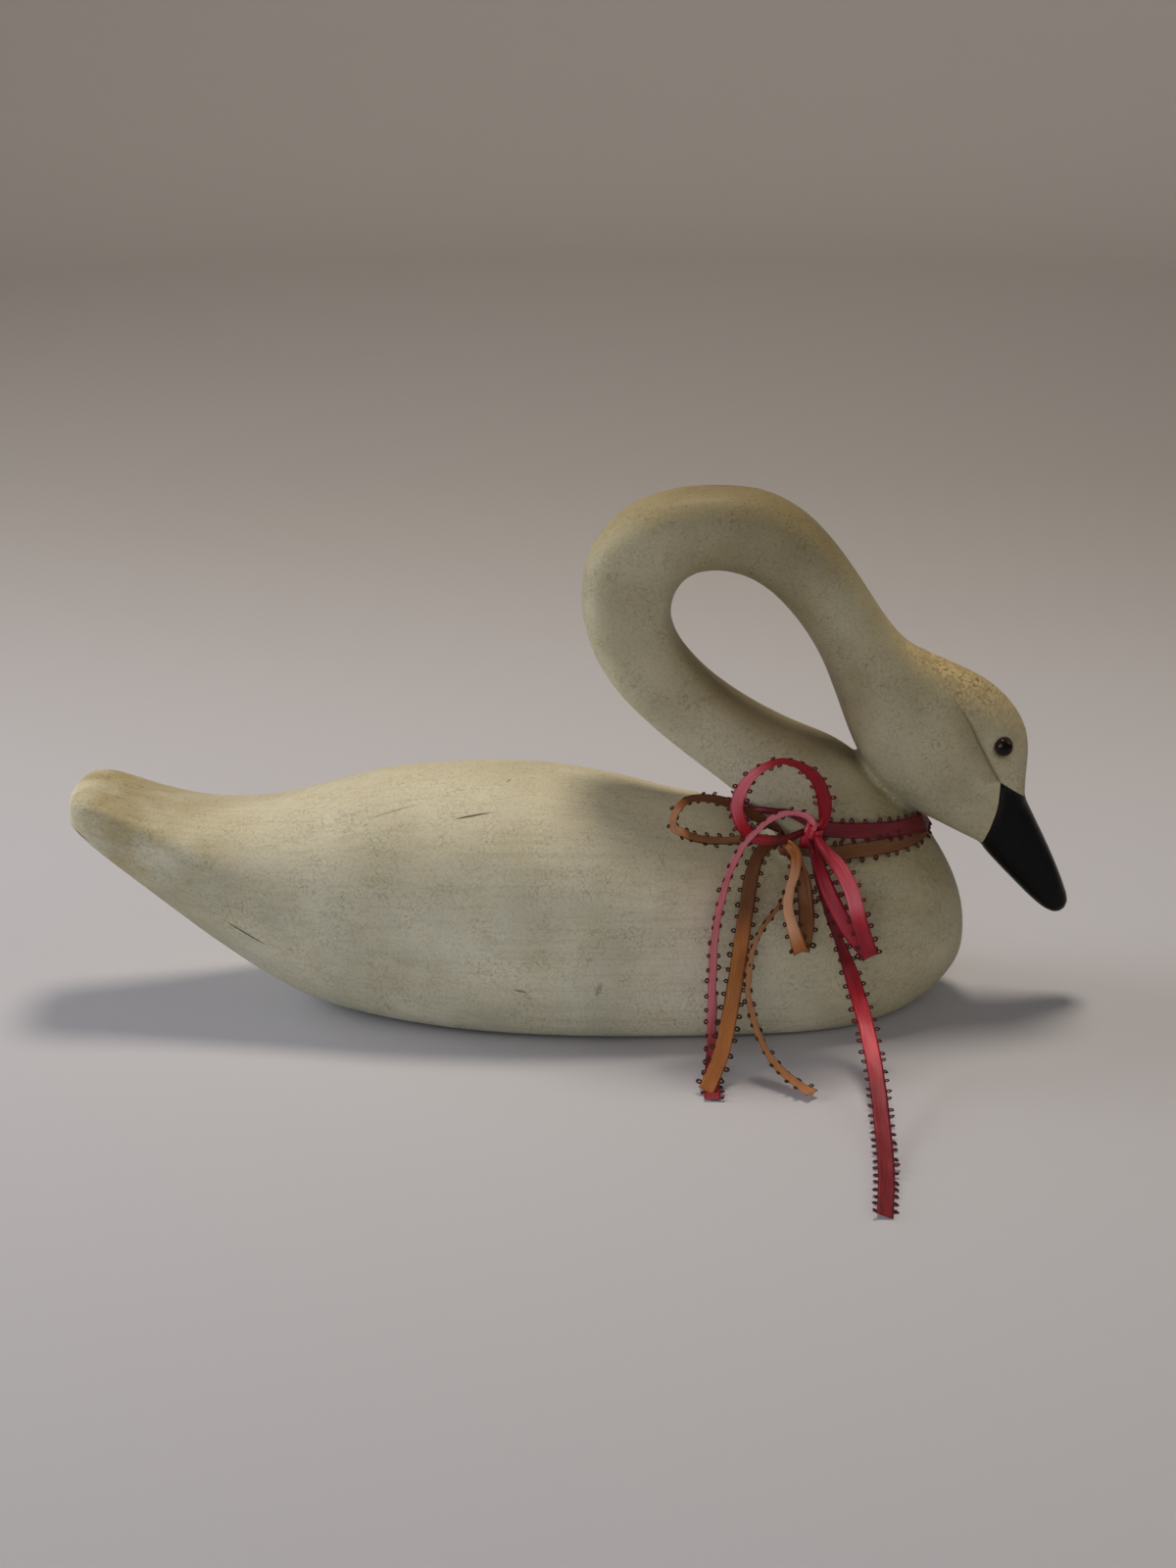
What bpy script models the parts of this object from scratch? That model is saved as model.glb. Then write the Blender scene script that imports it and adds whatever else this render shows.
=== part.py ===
"""A carved and painted wooden swan, with glass eyes and two ribbons tied in a bow round its neck.

Metres, +Z up. The origin is the middle of the flat under side, on the plane that halves the swan.
The bill points along +X, and -Y is the swan's right side, where the bow is.

The carving is one skin over cuts taken square to its length, from the tail round the neck to the bill.
Sloping cutters then step the eye field and the bill down from the cheek and sink the eye sockets.
Each ribbon is a band round the neck, a knot, two loops and two tails, joined into one body.
"""

import math

import bmesh
import bpy
import numpy as np
from mathutils import Vector
from mathutils.bvhtree import BVHTree

MM = 0.001
CLEARANCE = 0.3  # between pieces that touch, in millimetres, as every size here

# Widths of the carving
BODY_WIDTH = 104.0
BASE_WIDTH = 84.0
TAIL_WIDTH = 53.0
TAIL_END_WIDTH = 42.0
CHEST_WIDTH = 88.0
NECK_BASE_WIDTH = 62.0
NECK_WIDTH = 34.0
HEAD_WIDTH = 37.0
BILL_WIDTH = 22.5
BILL_TIP_WIDTH = 12.0

# Reaches of the carving, from the middle of its base
TAIL_REACH = 221.0
CHEST_REACH = 130.0
BILL_REACH = 171.0
BACK_HEIGHT = 95.5
NECK_HEIGHT = 206.5

# How finely the carving is cut into rings
BODY_RING_STEP = 8.5
NECK_RING_STEP = 7.0
HEAD_RING_STEP = 4.0
SIDE_STEPS = 7  # faces from the back line to the widest place, and from there to the base
FLAT_STEPS = 2  # faces across half of the flat under side

# The flat fields that are cut back into the sides of the head
EYE_FIELD_OUT = 14.3  # from the middle plane, where the cheek line passes the eye
EYE_FIELD_LEAN = (-0.15, -0.12)  # how fast the field nears the middle plane, forwards and upwards
BILL_SIDE_OUT = 12.6  # from the middle plane, at the root of the bill
BILL_SIDE_LEAN = (-0.21, 0.0)
EYE_FIELD_AT = (133.0, 109.0)
BILL_SIDE_AT = (140.0, 80.0)
FIELD_REACH = 34.0  # how far out the cutters go

# Glass eyes
EYE_DIAMETER = 7.0
EYE_PROUD = 1.3
EYE_DEPTH = 2.6
EYE_AT = (140.8, 108.2)
EYE_FACES = 28
EYE_DOME_STEPS = 5

# Ribbons
RIBBON_WIDTH = 6.0
RIBBON_THICKNESS = 0.5
KNOT_SIZE = (6.6, 5.2, 5.8)
RED_KNOT_AT = (66.2, 78.6)
GOLD_KNOT_AT = (58.4, 75.6)
RIBBON_STEP = 3.6
BAND_STEPS = 44
BAND_SMOOTHING = 3  # rounds of evening out the lean of the band
BAND_LEAN = 0.7  # the most that the band's face leans up or down
BAND_SEARCH = 3.2  # how far outside the neck its surface is looked for
BAND_SLACK = 0.6  # air between the two bands beyond the clearance
BAND_EASE = 0.4  # air under the bands for the flat stretches between places
BAND_SHARES = (-1.2, -0.6, 0.0, 0.6, 1.2)  # places across the band, in half widths, that are held clear
KNOT_SHARE = 0.4  # width of a strand inside its knot, as a share of the full width
KNOT_SPREAD = 1.3  # how far from the middle of a knot its strands end
BAND_CENTRE = (78.0, 78.4)
BAND_SLOPE = -0.13  # rise of the band's path for each millimetre towards the bill
TOWARDS_VIEW = (0.0, -0.942, 0.335)  # what an unturned ribbon faces


# Edges of the cut-back fields in side view, as (x, z)
EYE_FIELD_EDGE = [
    (119.5, 134.0), (123.6, 127.5), (126.9, 122.0), (130.4, 113.2), (132.9, 106.0), (135.7, 99.7), (138.3, 94.5),
    (140.4, 90.4), (146.0, 88.0), (166.0, 84.0), (166.0, 134.0),
]
BILL_EDGE = [
    (133.6, 65.6), (134.6, 68.2), (136.3, 72.0), (137.8, 75.9), (139.2, 80.0), (140.1, 84.5), (140.4, 88.5),
    (140.3, 93.4), (145.3, 90.0), (151.3, 86.4), (158.0, 84.0), (186.0, 84.0), (186.0, 22.0), (150.0, 22.0),
    (132.0, 52.0),
]

# Paths of the ribbons from knot to knot or to a free end, each place as (x, how far beyond the widest
# side of the body, z, turn about the path in degrees, share of the full width)
RED_LOOP_UP = [
    (69.4, -14.0, 85.8, 40, 0.6), (69.7, -9.0, 98.2, 40, 1), (65.1, -5.0, 108.9, 45, 1), (58.3, -3.0, 114.2, 50, 1),
    (52.0, -1.0, 115.7, 50, 1), (44.7, 0.5, 113.1, 45, 1), (39.4, 1.0, 107.6, 35, 1), (36.7, 0.0, 99.1, 30, 1),
    (38.7, -1.5, 90.4, 30, 1), (43.7, -3.0, 84.8, 25, 0.8), (53.1, -7.0, 82.5, 20, 0.6),
]
RED_LOOP_DOWN = [
    (71.2, -6.0, 77.8, 0, 0.7), (75.9, 0.0, 73.4, 5, 1), (79.4, 4.0, 67.1, 5, 1), (82.7, 8.0, 55.8, 5, 1),
    (85.7, 10.5, 46.5, 5, 1), (86.8, 10.5, 43.0, 5, 1), (87.0, 9.2, 41.6, 5, 1), (86.2, 7.8, 42.8, 5, 1),
    (83.8, 7.0, 45.6, 5, 1), (80.0, 6.0, 50.0, 5, 1),
    (73.9, 3.0, 59.8, 5, 1), (68.8, -2.5, 71.4, 10, 0.8),
]
RED_TAIL_BACK = [
    (59.3, -9.0, 89.2, 50, 0.6), (53.7, -4.0, 94.6, 58, 1), (48.1, 0.0, 92.5, 60, 1), (42.5, 3.5, 88.8, 60, 1),
    (38.1, 5.5, 83.7, 60, 1), (34.2, 7.0, 75.8, 60, 1), (30.7, 8.5, 63.4, 60, 1), (28.5, 11.0, 49.9, 58, 1),
    (27.8, 15.0, 36.9, 55, 1), (27.6, 20.0, 23.2, 52, 1), (27.5, 24.6, 12.8, 48, 1), (27.5, 29.0, 5.6, 35, 1),
    (27.4, 34.0, 2.0, 15, 1), (27.2, 40.0, 1.1, 0, 1), (27.1, 46.0, 1.0, 0, 1),
]
RED_TAIL_FRONT = [
    (67.0, -7.0, 71.5, 20, 0.6), (69.1, -2.5, 63.3, 10, 0.9), (73.5, 1.5, 51.1, 5, 1), (77.9, 5.5, 40.8, 0, 1),
    (81.3, 12.0, 31.6, 0, 1), (84.3, 22.5, 22.3, 0, 1), (86.1, 37.0, 15.1, 0, 1), (86.7, 54.0, 9.5, 0, 1),
    (86.4, 73.0, 5.2, 0, 1), (84.9, 103.0, 2.2, 0, 1), (81.3, 135.0, 1.3, 0, 1),
]
GOLD_LOOP_BACK = [
    (54.0, -14.0, 83.0, 50, 0.5), (47.7, -11.0, 88.5, 55, 1), (35.6, -6.0, 96.9, 55, 1), (25.1, -2.0, 101.1, 55, 1),
    (17.8, 0.0, 100.7, 50, 1), (13.8, 1.0, 96.8, 40, 1), (13.1, 1.0, 91.4, 40, 1), (18.0, -1.0, 86.7, 50, 1),
    (25.4, -4.0, 83.6, 55, 1), (34.8, -8.0, 81.7, 55, 1), (43.4, -11.0, 81.6, 55, 1), (52.0, -14.0, 80.0, 50, 0.5),
]
GOLD_LOOP_DOWN = [
    (60.5, -5.5, 75.0, 10, 0.7), (60.3, -0.5, 71.8, 15, 1), (57.5, 3.5, 67.3, 20, 1), (56.0, 6.0, 62.0, 20, 1),
    (57.8, 8.5, 54.0, 10, 1), (59.8, 10.0, 47.6, 5, 1), (60.8, 9.6, 44.6, 0, 1), (61.3, 7.9, 43.4, 0, 1),
    (61.9, 6.1, 44.6, 0, 1), (63.0, 3.6, 48.6, 0, 1), (63.6, -2.8, 57.6, 0, 1), (61.6, -9.0, 69.1, 0, 0.8),
]
GOLD_TAIL_SIDE = [
    (50.1, -10.0, 78.4, 30, 0.8), (45.8, -6.0, 76.6, 30, 1), (43.1, -2.0, 72.0, 25, 1), (41.6, 2.0, 65.1, 20, 1),
    (40.1, 5.0, 55.7, 15, 1), (38.3, 9.5, 44.1, 10, 1), (36.4, 15.5, 33.9, 5, 1), (33.7, 23.0, 21.7, 0, 1),
    (31.2, 29.5, 12.8, 0, 1), (28.7, 33.6, 7.6, 0, 1), (26.4, 36.4, 4.6, 0, 1),
]
GOLD_TAIL_CURL = [
    (60.6, -12.0, 71.3, 60, 0.6), (58.8, -8.0, 65.9, 65, 1), (55.2, -2.5, 60.6, 68, 1), (49.9, 2.0, 55.3, 68, 1),
    (45.0, 6.0, 49.0, 66, 1), (42.3, 10.0, 41.5, 64, 1), (41.1, 16.0, 31.4, 60, 1), (43.5, 23.0, 20.6, 60, 1),
    (47.7, 28.0, 12.3, 60, 1), (53.6, 32.0, 6.9, 62, 1), (58.8, 34.5, 4.6, 64, 1), (63.4, 37.0, 3.6, 66, 1),
]

# How far each band rides above its plane at places along the swan's right side, as (x, rise)
RED_RISE = [(44, 1.0), (51, 6.6), (58, 6.8), (66, 2.0), (74, 1.4), (92, 0.8), (112, 0.2)]
GOLD_RISE = [(44, 0.0), (51, -0.4), (58, -3.2), (66, -6.4), (74, -6.2), (92, -3.6), (112, 0.0)]


def clear_scene():
    for obj in list(bpy.data.objects):
        bpy.data.objects.remove(obj, do_unlink=True)


def material(name, colour, roughness, coat=0.0):
    made = bpy.data.materials.new(name)
    made.use_nodes = True
    shader = made.node_tree.nodes["Principled BSDF"]
    shader.inputs["Base Color"].default_value = (*colour, 1.0)
    shader.inputs["Roughness"].default_value = roughness
    shader.inputs["Coat Weight"].default_value = coat
    return made


def new_object(name, shape, collection, look=None):
    """An object from a bmesh, with its faces turned outward."""
    bmesh.ops.recalc_face_normals(shape, faces=shape.faces)
    mesh = bpy.data.meshes.new(name)
    shape.to_mesh(mesh)
    shape.free()
    obj = bpy.data.objects.new(name, mesh)
    collection.objects.link(obj)
    if look:
        mesh.materials.append(look)
    return obj


def new_collection(name, helper=False):
    made = bpy.data.collections.new(name)
    bpy.context.scene.collection.children.link(made)
    made.hide_render = helper
    return made


def boolean(obj, other, operation, use_self=False):
    modifier = obj.modifiers.new(f"{operation.lower()} {other.name}", "BOOLEAN")
    modifier.operation = operation
    modifier.object = other
    modifier.solver = "EXACT"
    modifier.use_self = use_self
    other.hide_render = True
    other.display_type = "WIRE"


def smooth_faces(obj, angle):
    obj.data.shade_smooth()
    obj.data.set_sharp_from_angle(angle=math.radians(angle))


def cut(back, breast, width, flat=0.0, widest=0.5, above=2.2, below=2.2):
    """One cut across the carving: where it meets the back line and the breast line in side view, its width
    and the width of its flat under side, how far down it is widest, and how square its two halves are."""
    return np.array([*back, *breast, width, flat, widest, above, below], float)


def tail_cuts():
    end = -TAIL_REACH
    return [
        cut((end + 1.6, 86.0), (end + 0.4, 75.5), TAIL_END_WIDTH * 0.50, 8, 0.30, 2.4, 1.8),
        cut((end + 3.4, 88.3), (end + 2.5, 72.0), TAIL_END_WIDTH * 0.78, 10, 0.24, 2.6, 1.7),
        cut((end + 8.0, 90.2), (end + 7.5, 66.5), TAIL_END_WIDTH, 11, 0.20, 2.8, 1.6),
        cut((end + 17.0, 88.8), (end + 18.5, 56.5), TAIL_END_WIDTH * 1.13, 11, 0.18, 2.8, 1.5),
        cut((end + 31.0, 84.0), (end + 36.0, 42.0), TAIL_WIDTH, 12, 0.20, 2.7, 1.5),
        cut((end + 50.0, 80.0), (end + 56.0, 26.0), TAIL_WIDTH * 1.18, 12, 0.28, 2.5, 1.6),
        cut((end + 71.0, 80.2), (end + 76.0, 12.5), TAIL_WIDTH * 1.38, 12, 0.38, 2.3, 1.8),
    ]


def body_cuts():
    top = BACK_HEIGHT
    return [
        cut((-124, top - 9.8), (-125, 1.8), BODY_WIDTH * 0.80, 8, 0.45, 2.2, 2.0),
        cut((-101, top - 3.4), (-102, 0), BODY_WIDTH * 0.89, BASE_WIDTH * 0.43, 0.48, 2.15, 2.05),
        cut((-72, top - 0.3), (-72, 0), BODY_WIDTH * 0.96, BASE_WIDTH * 0.77, 0.5, 2.1, 2.1),
        cut((-43, top - 0.2), (-43, 0), BODY_WIDTH, BASE_WIDTH * 0.93, 0.5, 2.1, 2.2),
        cut((-12, top - 4.8), (-12, 0), BODY_WIDTH, BASE_WIDTH, 0.5, 2.1, 2.2),
        cut((16, top - 12.4), (16, 0), BODY_WIDTH * 0.98, BASE_WIDTH * 0.99, 0.5, 2.15, 2.2),
    ]


def breast_cuts():
    """The cuts that fan round the notch behind the neck, from upright to level."""
    front = CHEST_REACH
    return [
        cut((37, 78.8), (43, 0), BODY_WIDTH * 0.95, BASE_WIDTH * 0.95, 0.5, 2.2, 2.2),
        cut((44.6, 77.4), (70, 0), BODY_WIDTH * 0.92, BASE_WIDTH * 0.86, 0.49, 2.3, 2.1),
        cut((46.2, 77.4), (92, 0), CHEST_WIDTH * 1.04, BASE_WIDTH * 0.62, 0.47, 2.4, 2.0),
        cut((46.6, 77.6), (front - 22.5, 0), CHEST_WIDTH, BASE_WIDTH * 0.24, 0.45, 2.5, 1.9),
        cut((46.8, 77.8), (front - 12.8, 3.4), CHEST_WIDTH * 0.96, 5, 0.44, 2.5, 1.8),
        cut((46.9, 78.1), (front - 5.8, 10.9), CHEST_WIDTH * 0.93, 4, 0.43, 2.5, 1.8),
        cut((46.9, 78.4), (front - 1.0, 19.5), CHEST_WIDTH * 0.90, 4, 0.42, 2.5, 1.85),
        cut((46.9, 78.7), (front, 30.0), CHEST_WIDTH * 0.87, 4, 0.42, 2.5, 1.9),
        cut((46.8, 79.1), (front - 1.2, 41.0), CHEST_WIDTH * 0.83, 4, 0.42, 2.4, 1.95),
        cut((46.4, 79.6), (front - 5.7, 54.0), (CHEST_WIDTH + NECK_BASE_WIDTH) / 2, 4, 0.43, 2.3, 2.0),
        cut((45.6, 80.6), (front - 14.2, 68.5), NECK_BASE_WIDTH, 4, 0.44, 2.2, 2.1),
    ]


def neck_cuts():
    top = NECK_HEIGHT
    wide = NECK_WIDTH
    return [
        cut((43.0, 83.2), (106, 81.5), NECK_BASE_WIDTH * 0.86, 5, 0.45, 2.2, 2.2),
        cut((37.8, 87.9), (95, 91.6), NECK_BASE_WIDTH * 0.76, 6, 0.46, 2.3, 2.3),
        cut((29.3, 94.8), (81, 104.0), wide * 1.22, 7, 0.47, 2.5, 2.5),
        cut((17.5, 104.3), (62, 112.3), wide * 1.10, 7, 0.48, 2.7, 2.7),
        cut((5.0, 115.0), (42.2, 123.2), wide, 7, 0.5, 2.8, 2.8),
        cut((-7.0, 127.5), (27.8, 134.0), wide, 7, 0.5, 2.8, 2.8),
        cut((-16.8, 143.5), (16.6, 147.0), wide, 7, 0.5, 2.8, 2.8),
        cut((-21.2, 162.5), (12.9, 159.0), wide, 7, 0.5, 2.8, 2.8),
        cut((-18.1, 182.0), (15.0, 168.5), wide, 7, 0.5, 2.8, 2.8),
        cut((-4.9, 198.0), (20.5, 174.5), wide, 7, 0.5, 2.8, 2.8),
        cut((13.0, top - 1.2), (27.5, 176.3), wide, 7, 0.5, 2.8, 2.8),
        cut((31.0, top + 0.2), (34.0, 176.0), wide, 7, 0.5, 2.8, 2.8),
        cut((48.3, top - 1.6), (42.0, 173.6), wide, 7, 0.5, 2.8, 2.8),
        cut((63.3, 197.1), (49.8, 168.7), wide, 7, 0.5, 2.8, 2.8),
        cut((75.6, 184.6), (57.4, 161.2), wide, 7, 0.5, 2.8, 2.8),
        cut((86.1, 170.0), (65.0, 151.2), wide, 7, 0.5, 2.8, 2.8),
        cut((96.5, 154.6), (71.6, 139.2), wide * 1.02, 7, 0.5, 2.7, 2.8),
    ]


def head_cuts():
    wide = HEAD_WIDTH
    return [
        cut((104.5, 146.0), (76.8, 126.0), wide * 0.97, 7, 0.52, 2.5, 2.8),
        cut((115.5, 140.7), (82.0, 112.2), wide, 7, 0.55, 2.2, 2.8),
        cut((126.3, 136.2), (87.5, 100.5), wide, 7, 0.58, 2.0, 2.8),
        cut((137.2, 130.0), (95.5, 89.8), wide, 8, 0.6, 1.9, 2.8),
        cut((146.0, 121.2), (105.5, 82.2), wide, 8, 0.62, 1.85, 2.8),
        cut((150.9, 112.0), (116.5, 76.4), wide * 0.94, 8, 0.64, 1.8, 2.8),
        cut((152.2, 103.0), (127.2, 70.6), wide * 0.83, 8, 0.62, 1.8, 2.8),
        cut((151.8, 94.0), (134.0, 66.8), wide * 0.71, 8, 0.58, 1.9, 2.8),
    ]


def bill_cuts():
    tip = BILL_REACH
    return [
        cut((151.5, 85.5), (136.2, 63.5), BILL_WIDTH * 1.09, 7, 0.5, 2.6, 2.6),
        cut((155.0, 77.5), (142.8, 56.2), BILL_WIDTH * 0.98, 7, 0.5, 3.0, 2.6),
        cut((160.5, 66.5), (149.5, 49.2), BILL_WIDTH * 0.86, 7, 0.5, 3.0, 2.6),
        cut((tip - 5.2, 55.0), (tip - 14.9, 42.5), (BILL_WIDTH + BILL_TIP_WIDTH) / 2, 6, 0.5, 3.0, 2.6),
        cut((tip - 1.6, 46.0), (tip - 9.3, 37.8), BILL_TIP_WIDTH * 1.12, 5, 0.5, 2.6, 2.6),
        cut((tip - 0.1, 40.5), (tip - 5.0, 36.0), BILL_TIP_WIDTH * 0.86, 4, 0.5, 2.4, 2.4),
        cut((tip - 1.0, 37.8), (tip - 2.6, 36.3), BILL_TIP_WIDTH * 0.45, 2, 0.5, 2.2, 2.2),
    ]


def smooth_curve(rows, gaps, steps):
    """Points on a smooth curve through the rows, given the gap after each row and the most between points."""
    slopes = np.gradient(rows, np.concatenate([[0], np.cumsum(gaps)]), axis=0)
    found = []
    for i, gap in enumerate(gaps):
        count = math.ceil(gap / steps[i])
        for t in np.arange(count) / count:
            leaving = (2 * t**3 - 3 * t**2 + 1) * rows[i] + (t**3 - 2 * t**2 + t) * gap * slopes[i]
            arriving = (3 * t**2 - 2 * t**3) * rows[i + 1] + (t**3 - t**2) * gap * slopes[i + 1]
            found.append(leaving + arriving)
    found.append(rows[-1])
    return np.array(found)


def smooth_rings(rows, steps):
    """Rings through the given cuts, spaced by the larger of the moves along the back and the breast."""
    rows = np.array(rows)
    gaps = np.hypot(np.diff(rows[:, 0]), np.diff(rows[:, 1]))
    gaps = np.maximum(gaps, np.hypot(np.diff(rows[:, 2]), np.diff(rows[:, 3])))
    return smooth_curve(rows, gaps, steps)


def half_outline(ring):
    """Half of a ring as (share of the way from back to breast, distance from the middle plane)."""
    width, flat, widest, above, below = ring[4:]
    points = []
    for i in range(SIDE_STEPS):
        turn = math.pi / 2 * i / SIDE_STEPS
        points.append((widest * (1 - math.cos(turn) ** (2 / above)), width / 2 * math.sin(turn) ** (2 / above)))
    for i in range(SIDE_STEPS):
        turn = math.pi / 2 * i / SIDE_STEPS
        out = flat / 2 + (width - flat) / 2 * math.cos(turn) ** (2 / below)
        points.append((widest + (1 - widest) * math.sin(turn) ** (2 / below), out))
    for i in range(FLAT_STEPS + 1):
        points.append((1.0, flat / 2 * (1 - i / FLAT_STEPS)))
    return points


def carving_mesh(rings):
    """The skin over the rings, with each end closed by strips from side to side."""
    shape = bmesh.new()
    loops = []
    for ring in rings:
        back = np.array([ring[0], ring[1]])
        breast = np.array([ring[2], ring[3]])
        half = half_outline(ring)
        loop = []
        for side, row in ((-1, half), (1, half[-2:0:-1])):
            for share, out in row:
                x, z = back + (breast - back) * share
                loop.append(shape.verts.new((x * MM, side * out * MM, max(z, 0.0) * MM)))
        loops.append(loop)
    count = len(loops[0])
    for first, second in zip(loops, loops[1:]):
        for i in range(count):
            j = (i + 1) % count
            shape.faces.new((first[i], second[i], second[j], first[j]))
    for loop, outward in ((loops[0], True), (loops[-1], False)):
        for i in range(count // 2):
            corners = [loop[i], loop[i + 1], loop[(count - i - 1) % count], loop[(count - i) % count]]
            corners = list(dict.fromkeys(corners))
            shape.faces.new(corners if outward else corners[::-1])
    return shape


def field_cutter(name, edge, out, lean, place, collection):
    """A cutter on each side of the head, whose inner face leans and whose outline is the edge."""
    shape = bmesh.new()
    for side in (-1, 1):
        rows = ([], [])
        for x, z in edge:
            near = out + lean[0] * (x - place[0]) + lean[1] * (z - place[1])
            for row, y in zip(rows, (near, FIELD_REACH)):
                row.append(shape.verts.new((x * MM, side * y * MM, z * MM)))
        inner, outer = rows
        shape.faces.new(inner)
        shape.faces.new(outer[::-1])
        for i, corner in enumerate(inner):
            j = (i + 1) % len(inner)
            shape.faces.new((corner, outer[i], outer[j], inner[j]))
    return new_object(name, shape, collection)


def surface_from(tree, start, direction):
    """Where a line from the start first meets the surface, and the way the surface faces there."""
    hit, normal, _, _ = tree.ray_cast(Vector(start) * MM, Vector(direction).normalized())
    return np.array(hit) / MM, np.array(normal)


def side_surface(tree, place, side):
    """The outermost place on one side of the carving at (x, z)."""
    return surface_from(tree, (place[0], side * FIELD_REACH * 2, place[1]), (0, -side, 0))


def turned_body(name, rows, base, axis, collection, look=None):
    """A round body from (radius, height) rows, standing on base along axis."""
    shape = bmesh.new()
    verts = [shape.verts.new((radius * MM, 0, height * MM)) for radius, height in rows]
    edges = [shape.edges.new(pair) for pair in zip(verts, verts[1:])]
    bmesh.ops.spin(shape, geom=verts + edges, axis=(0, 0, 1), cent=(0, 0, 0), angle=math.tau,
                   steps=EYE_FACES, use_merge=True)
    bmesh.ops.remove_doubles(shape, verts=shape.verts, dist=0.001 * MM)
    turn = Vector((0, 0, 1)).rotation_difference(Vector(axis)).to_matrix()
    bmesh.ops.transform(shape, matrix=turn.to_4x4(), verts=shape.verts)
    bmesh.ops.translate(shape, vec=Vector(base) * MM, verts=shape.verts)
    return new_object(name, shape, collection, look)


def unit(vector):
    return vector / np.linalg.norm(vector)


def strip_into(shape, centres, across, outward, closed=False):
    """A flat strip through the centres, given the half width and the half thickness at each as vectors.

    Both broad faces are cut along the same diagonals, so that they stay apart where the strip twists.
    """
    rings = []
    for centre, half_width, half_depth in zip(centres, across, outward):
        corners = (half_width + half_depth, half_width - half_depth, -half_width - half_depth,
                   half_depth - half_width)
        rings.append([shape.verts.new(Vector(centre + corner) * MM) for corner in corners])
    pairs = list(zip(rings, rings[1:] + rings[:1])) if closed else list(zip(rings, rings[1:]))
    for first, second in pairs:
        for i, j in ((3, 0), (2, 1)):
            shape.faces.new((first[i], first[j], second[i]))
            shape.faces.new((first[j], second[j], second[i]))
        for i, j in ((0, 1), (2, 3)):
            shape.faces.new((first[i], first[j], second[j], second[i]))
    if not closed:
        shape.faces.new(rings[0][::-1])
        shape.faces.new(rings[-1])


def in_knot(centre, turn):
    """One of the places in a knot where its strands end, spread about the centre."""
    angle = math.radians(turn)
    return centre + KNOT_SPREAD * np.array([math.cos(angle), 0.3 * math.sin(2 * angle), math.sin(angle)])


def loose_strip(shape, start, route, end=None):
    """A loop or a tail: from the knot, through the route and back to the knot or to a free end."""
    side = BODY_WIDTH / 2
    rows = [(*start, route[0][3], KNOT_SHARE)]
    rows += [(x, -side - out, z, turn, share) for x, out, z, turn, share in route]
    if end is not None:
        rows.append((*end, route[-1][3], KNOT_SHARE))
    rows = np.array(rows)
    gaps = np.linalg.norm(np.diff(rows[:, :3], axis=0), axis=1)
    rows = smooth_curve(rows, gaps, [RIBBON_STEP] * len(gaps))
    centres = rows[:, :3]
    ways = np.gradient(centres, axis=0)
    across = []
    outward = []
    level = np.zeros(3)
    for way, (turn, share) in zip(ways, rows[:, 3:]):
        way = unit(way)
        sideways = np.cross(way, TOWARDS_VIEW)
        if sideways.dot(level) < 0:
            sideways = -sideways
        # Where the path runs along the view, the strip keeps the lie that it had before.
        level = sideways + level * (1 - np.linalg.norm(sideways))
        level = unit(level - way * level.dot(way))
        angle = math.radians(turn)
        wide = math.cos(angle) * level + math.sin(angle) * np.cross(level, way)
        across.append(wide * RIBBON_WIDTH / 2 * share)
        outward.append(np.cross(wide, way) * RIBBON_THICKNESS / 2)
    strip_into(shape, centres, across, outward)


def neck_band(shape, tree, layer, rises):
    """A band round the root of the neck, held off the carving, or off the band under it, all across its width."""
    centres = []
    slopes = []
    for i in range(BAND_STEPS):
        angle = math.tau * i / BAND_STEPS
        way = np.array([math.cos(angle), math.sin(angle), BAND_SLOPE * math.cos(angle)])
        place, _ = surface_from(tree, (BAND_CENTRE[0], 0, BAND_CENTRE[1]), way)
        rise = np.interp(place[0], *zip(*rises)) if way[1] < 0 else 0.0
        height = BAND_CENTRE[1] + BAND_SLOPE * (place[0] - BAND_CENTRE[0]) + rise
        place, normal = surface_from(tree, (BAND_CENTRE[0], 0, height), (way[0], way[1], 0))
        centres.append(place)
        slopes.append(min(max(normal[2], -BAND_LEAN), BAND_LEAN))
    centres = np.array(centres)
    slopes = np.array(slopes)
    for _ in range(BAND_SMOOTHING):
        slopes = (slopes * 2 + np.roll(slopes, 1) + np.roll(slopes, -1)) / 4
    ways = np.roll(centres, -1, axis=0) - np.roll(centres, 1, axis=0)
    across = []
    outward = []
    rests = []
    for centre, way, slope in zip(centres, ways, slopes):
        level = unit(np.array([way[1], -way[0], 0]))
        facing = unit(level + np.array([0, 0, slope]))
        wide = unit(np.cross(way, facing))
        across.append(wide * RIBBON_WIDTH / 2)
        outward.append(facing * RIBBON_THICKNESS / 2)
        rest = 0.0
        for share in BAND_SHARES:
            start = centre + wide * RIBBON_WIDTH / 2 * share + facing * BAND_SEARCH
            place, normal = surface_from(tree, start, -facing)
            if normal.dot(facing) > 0:
                rest = max(rest, BAND_SEARCH - np.linalg.norm(place - start))
        rests.append(rest)
    rests = np.maximum.reduce([rests, np.roll(rests, 1), np.roll(rests, -1)])
    lift = CLEARANCE + BAND_EASE + RIBBON_THICKNESS / 2 + layer * (CLEARANCE + RIBBON_THICKNESS + BAND_SLACK)
    centres += np.array([unit(way) for way in outward]) * (rests + lift)[:, None]
    strip_into(shape, centres, across, outward, closed=True)


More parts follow.
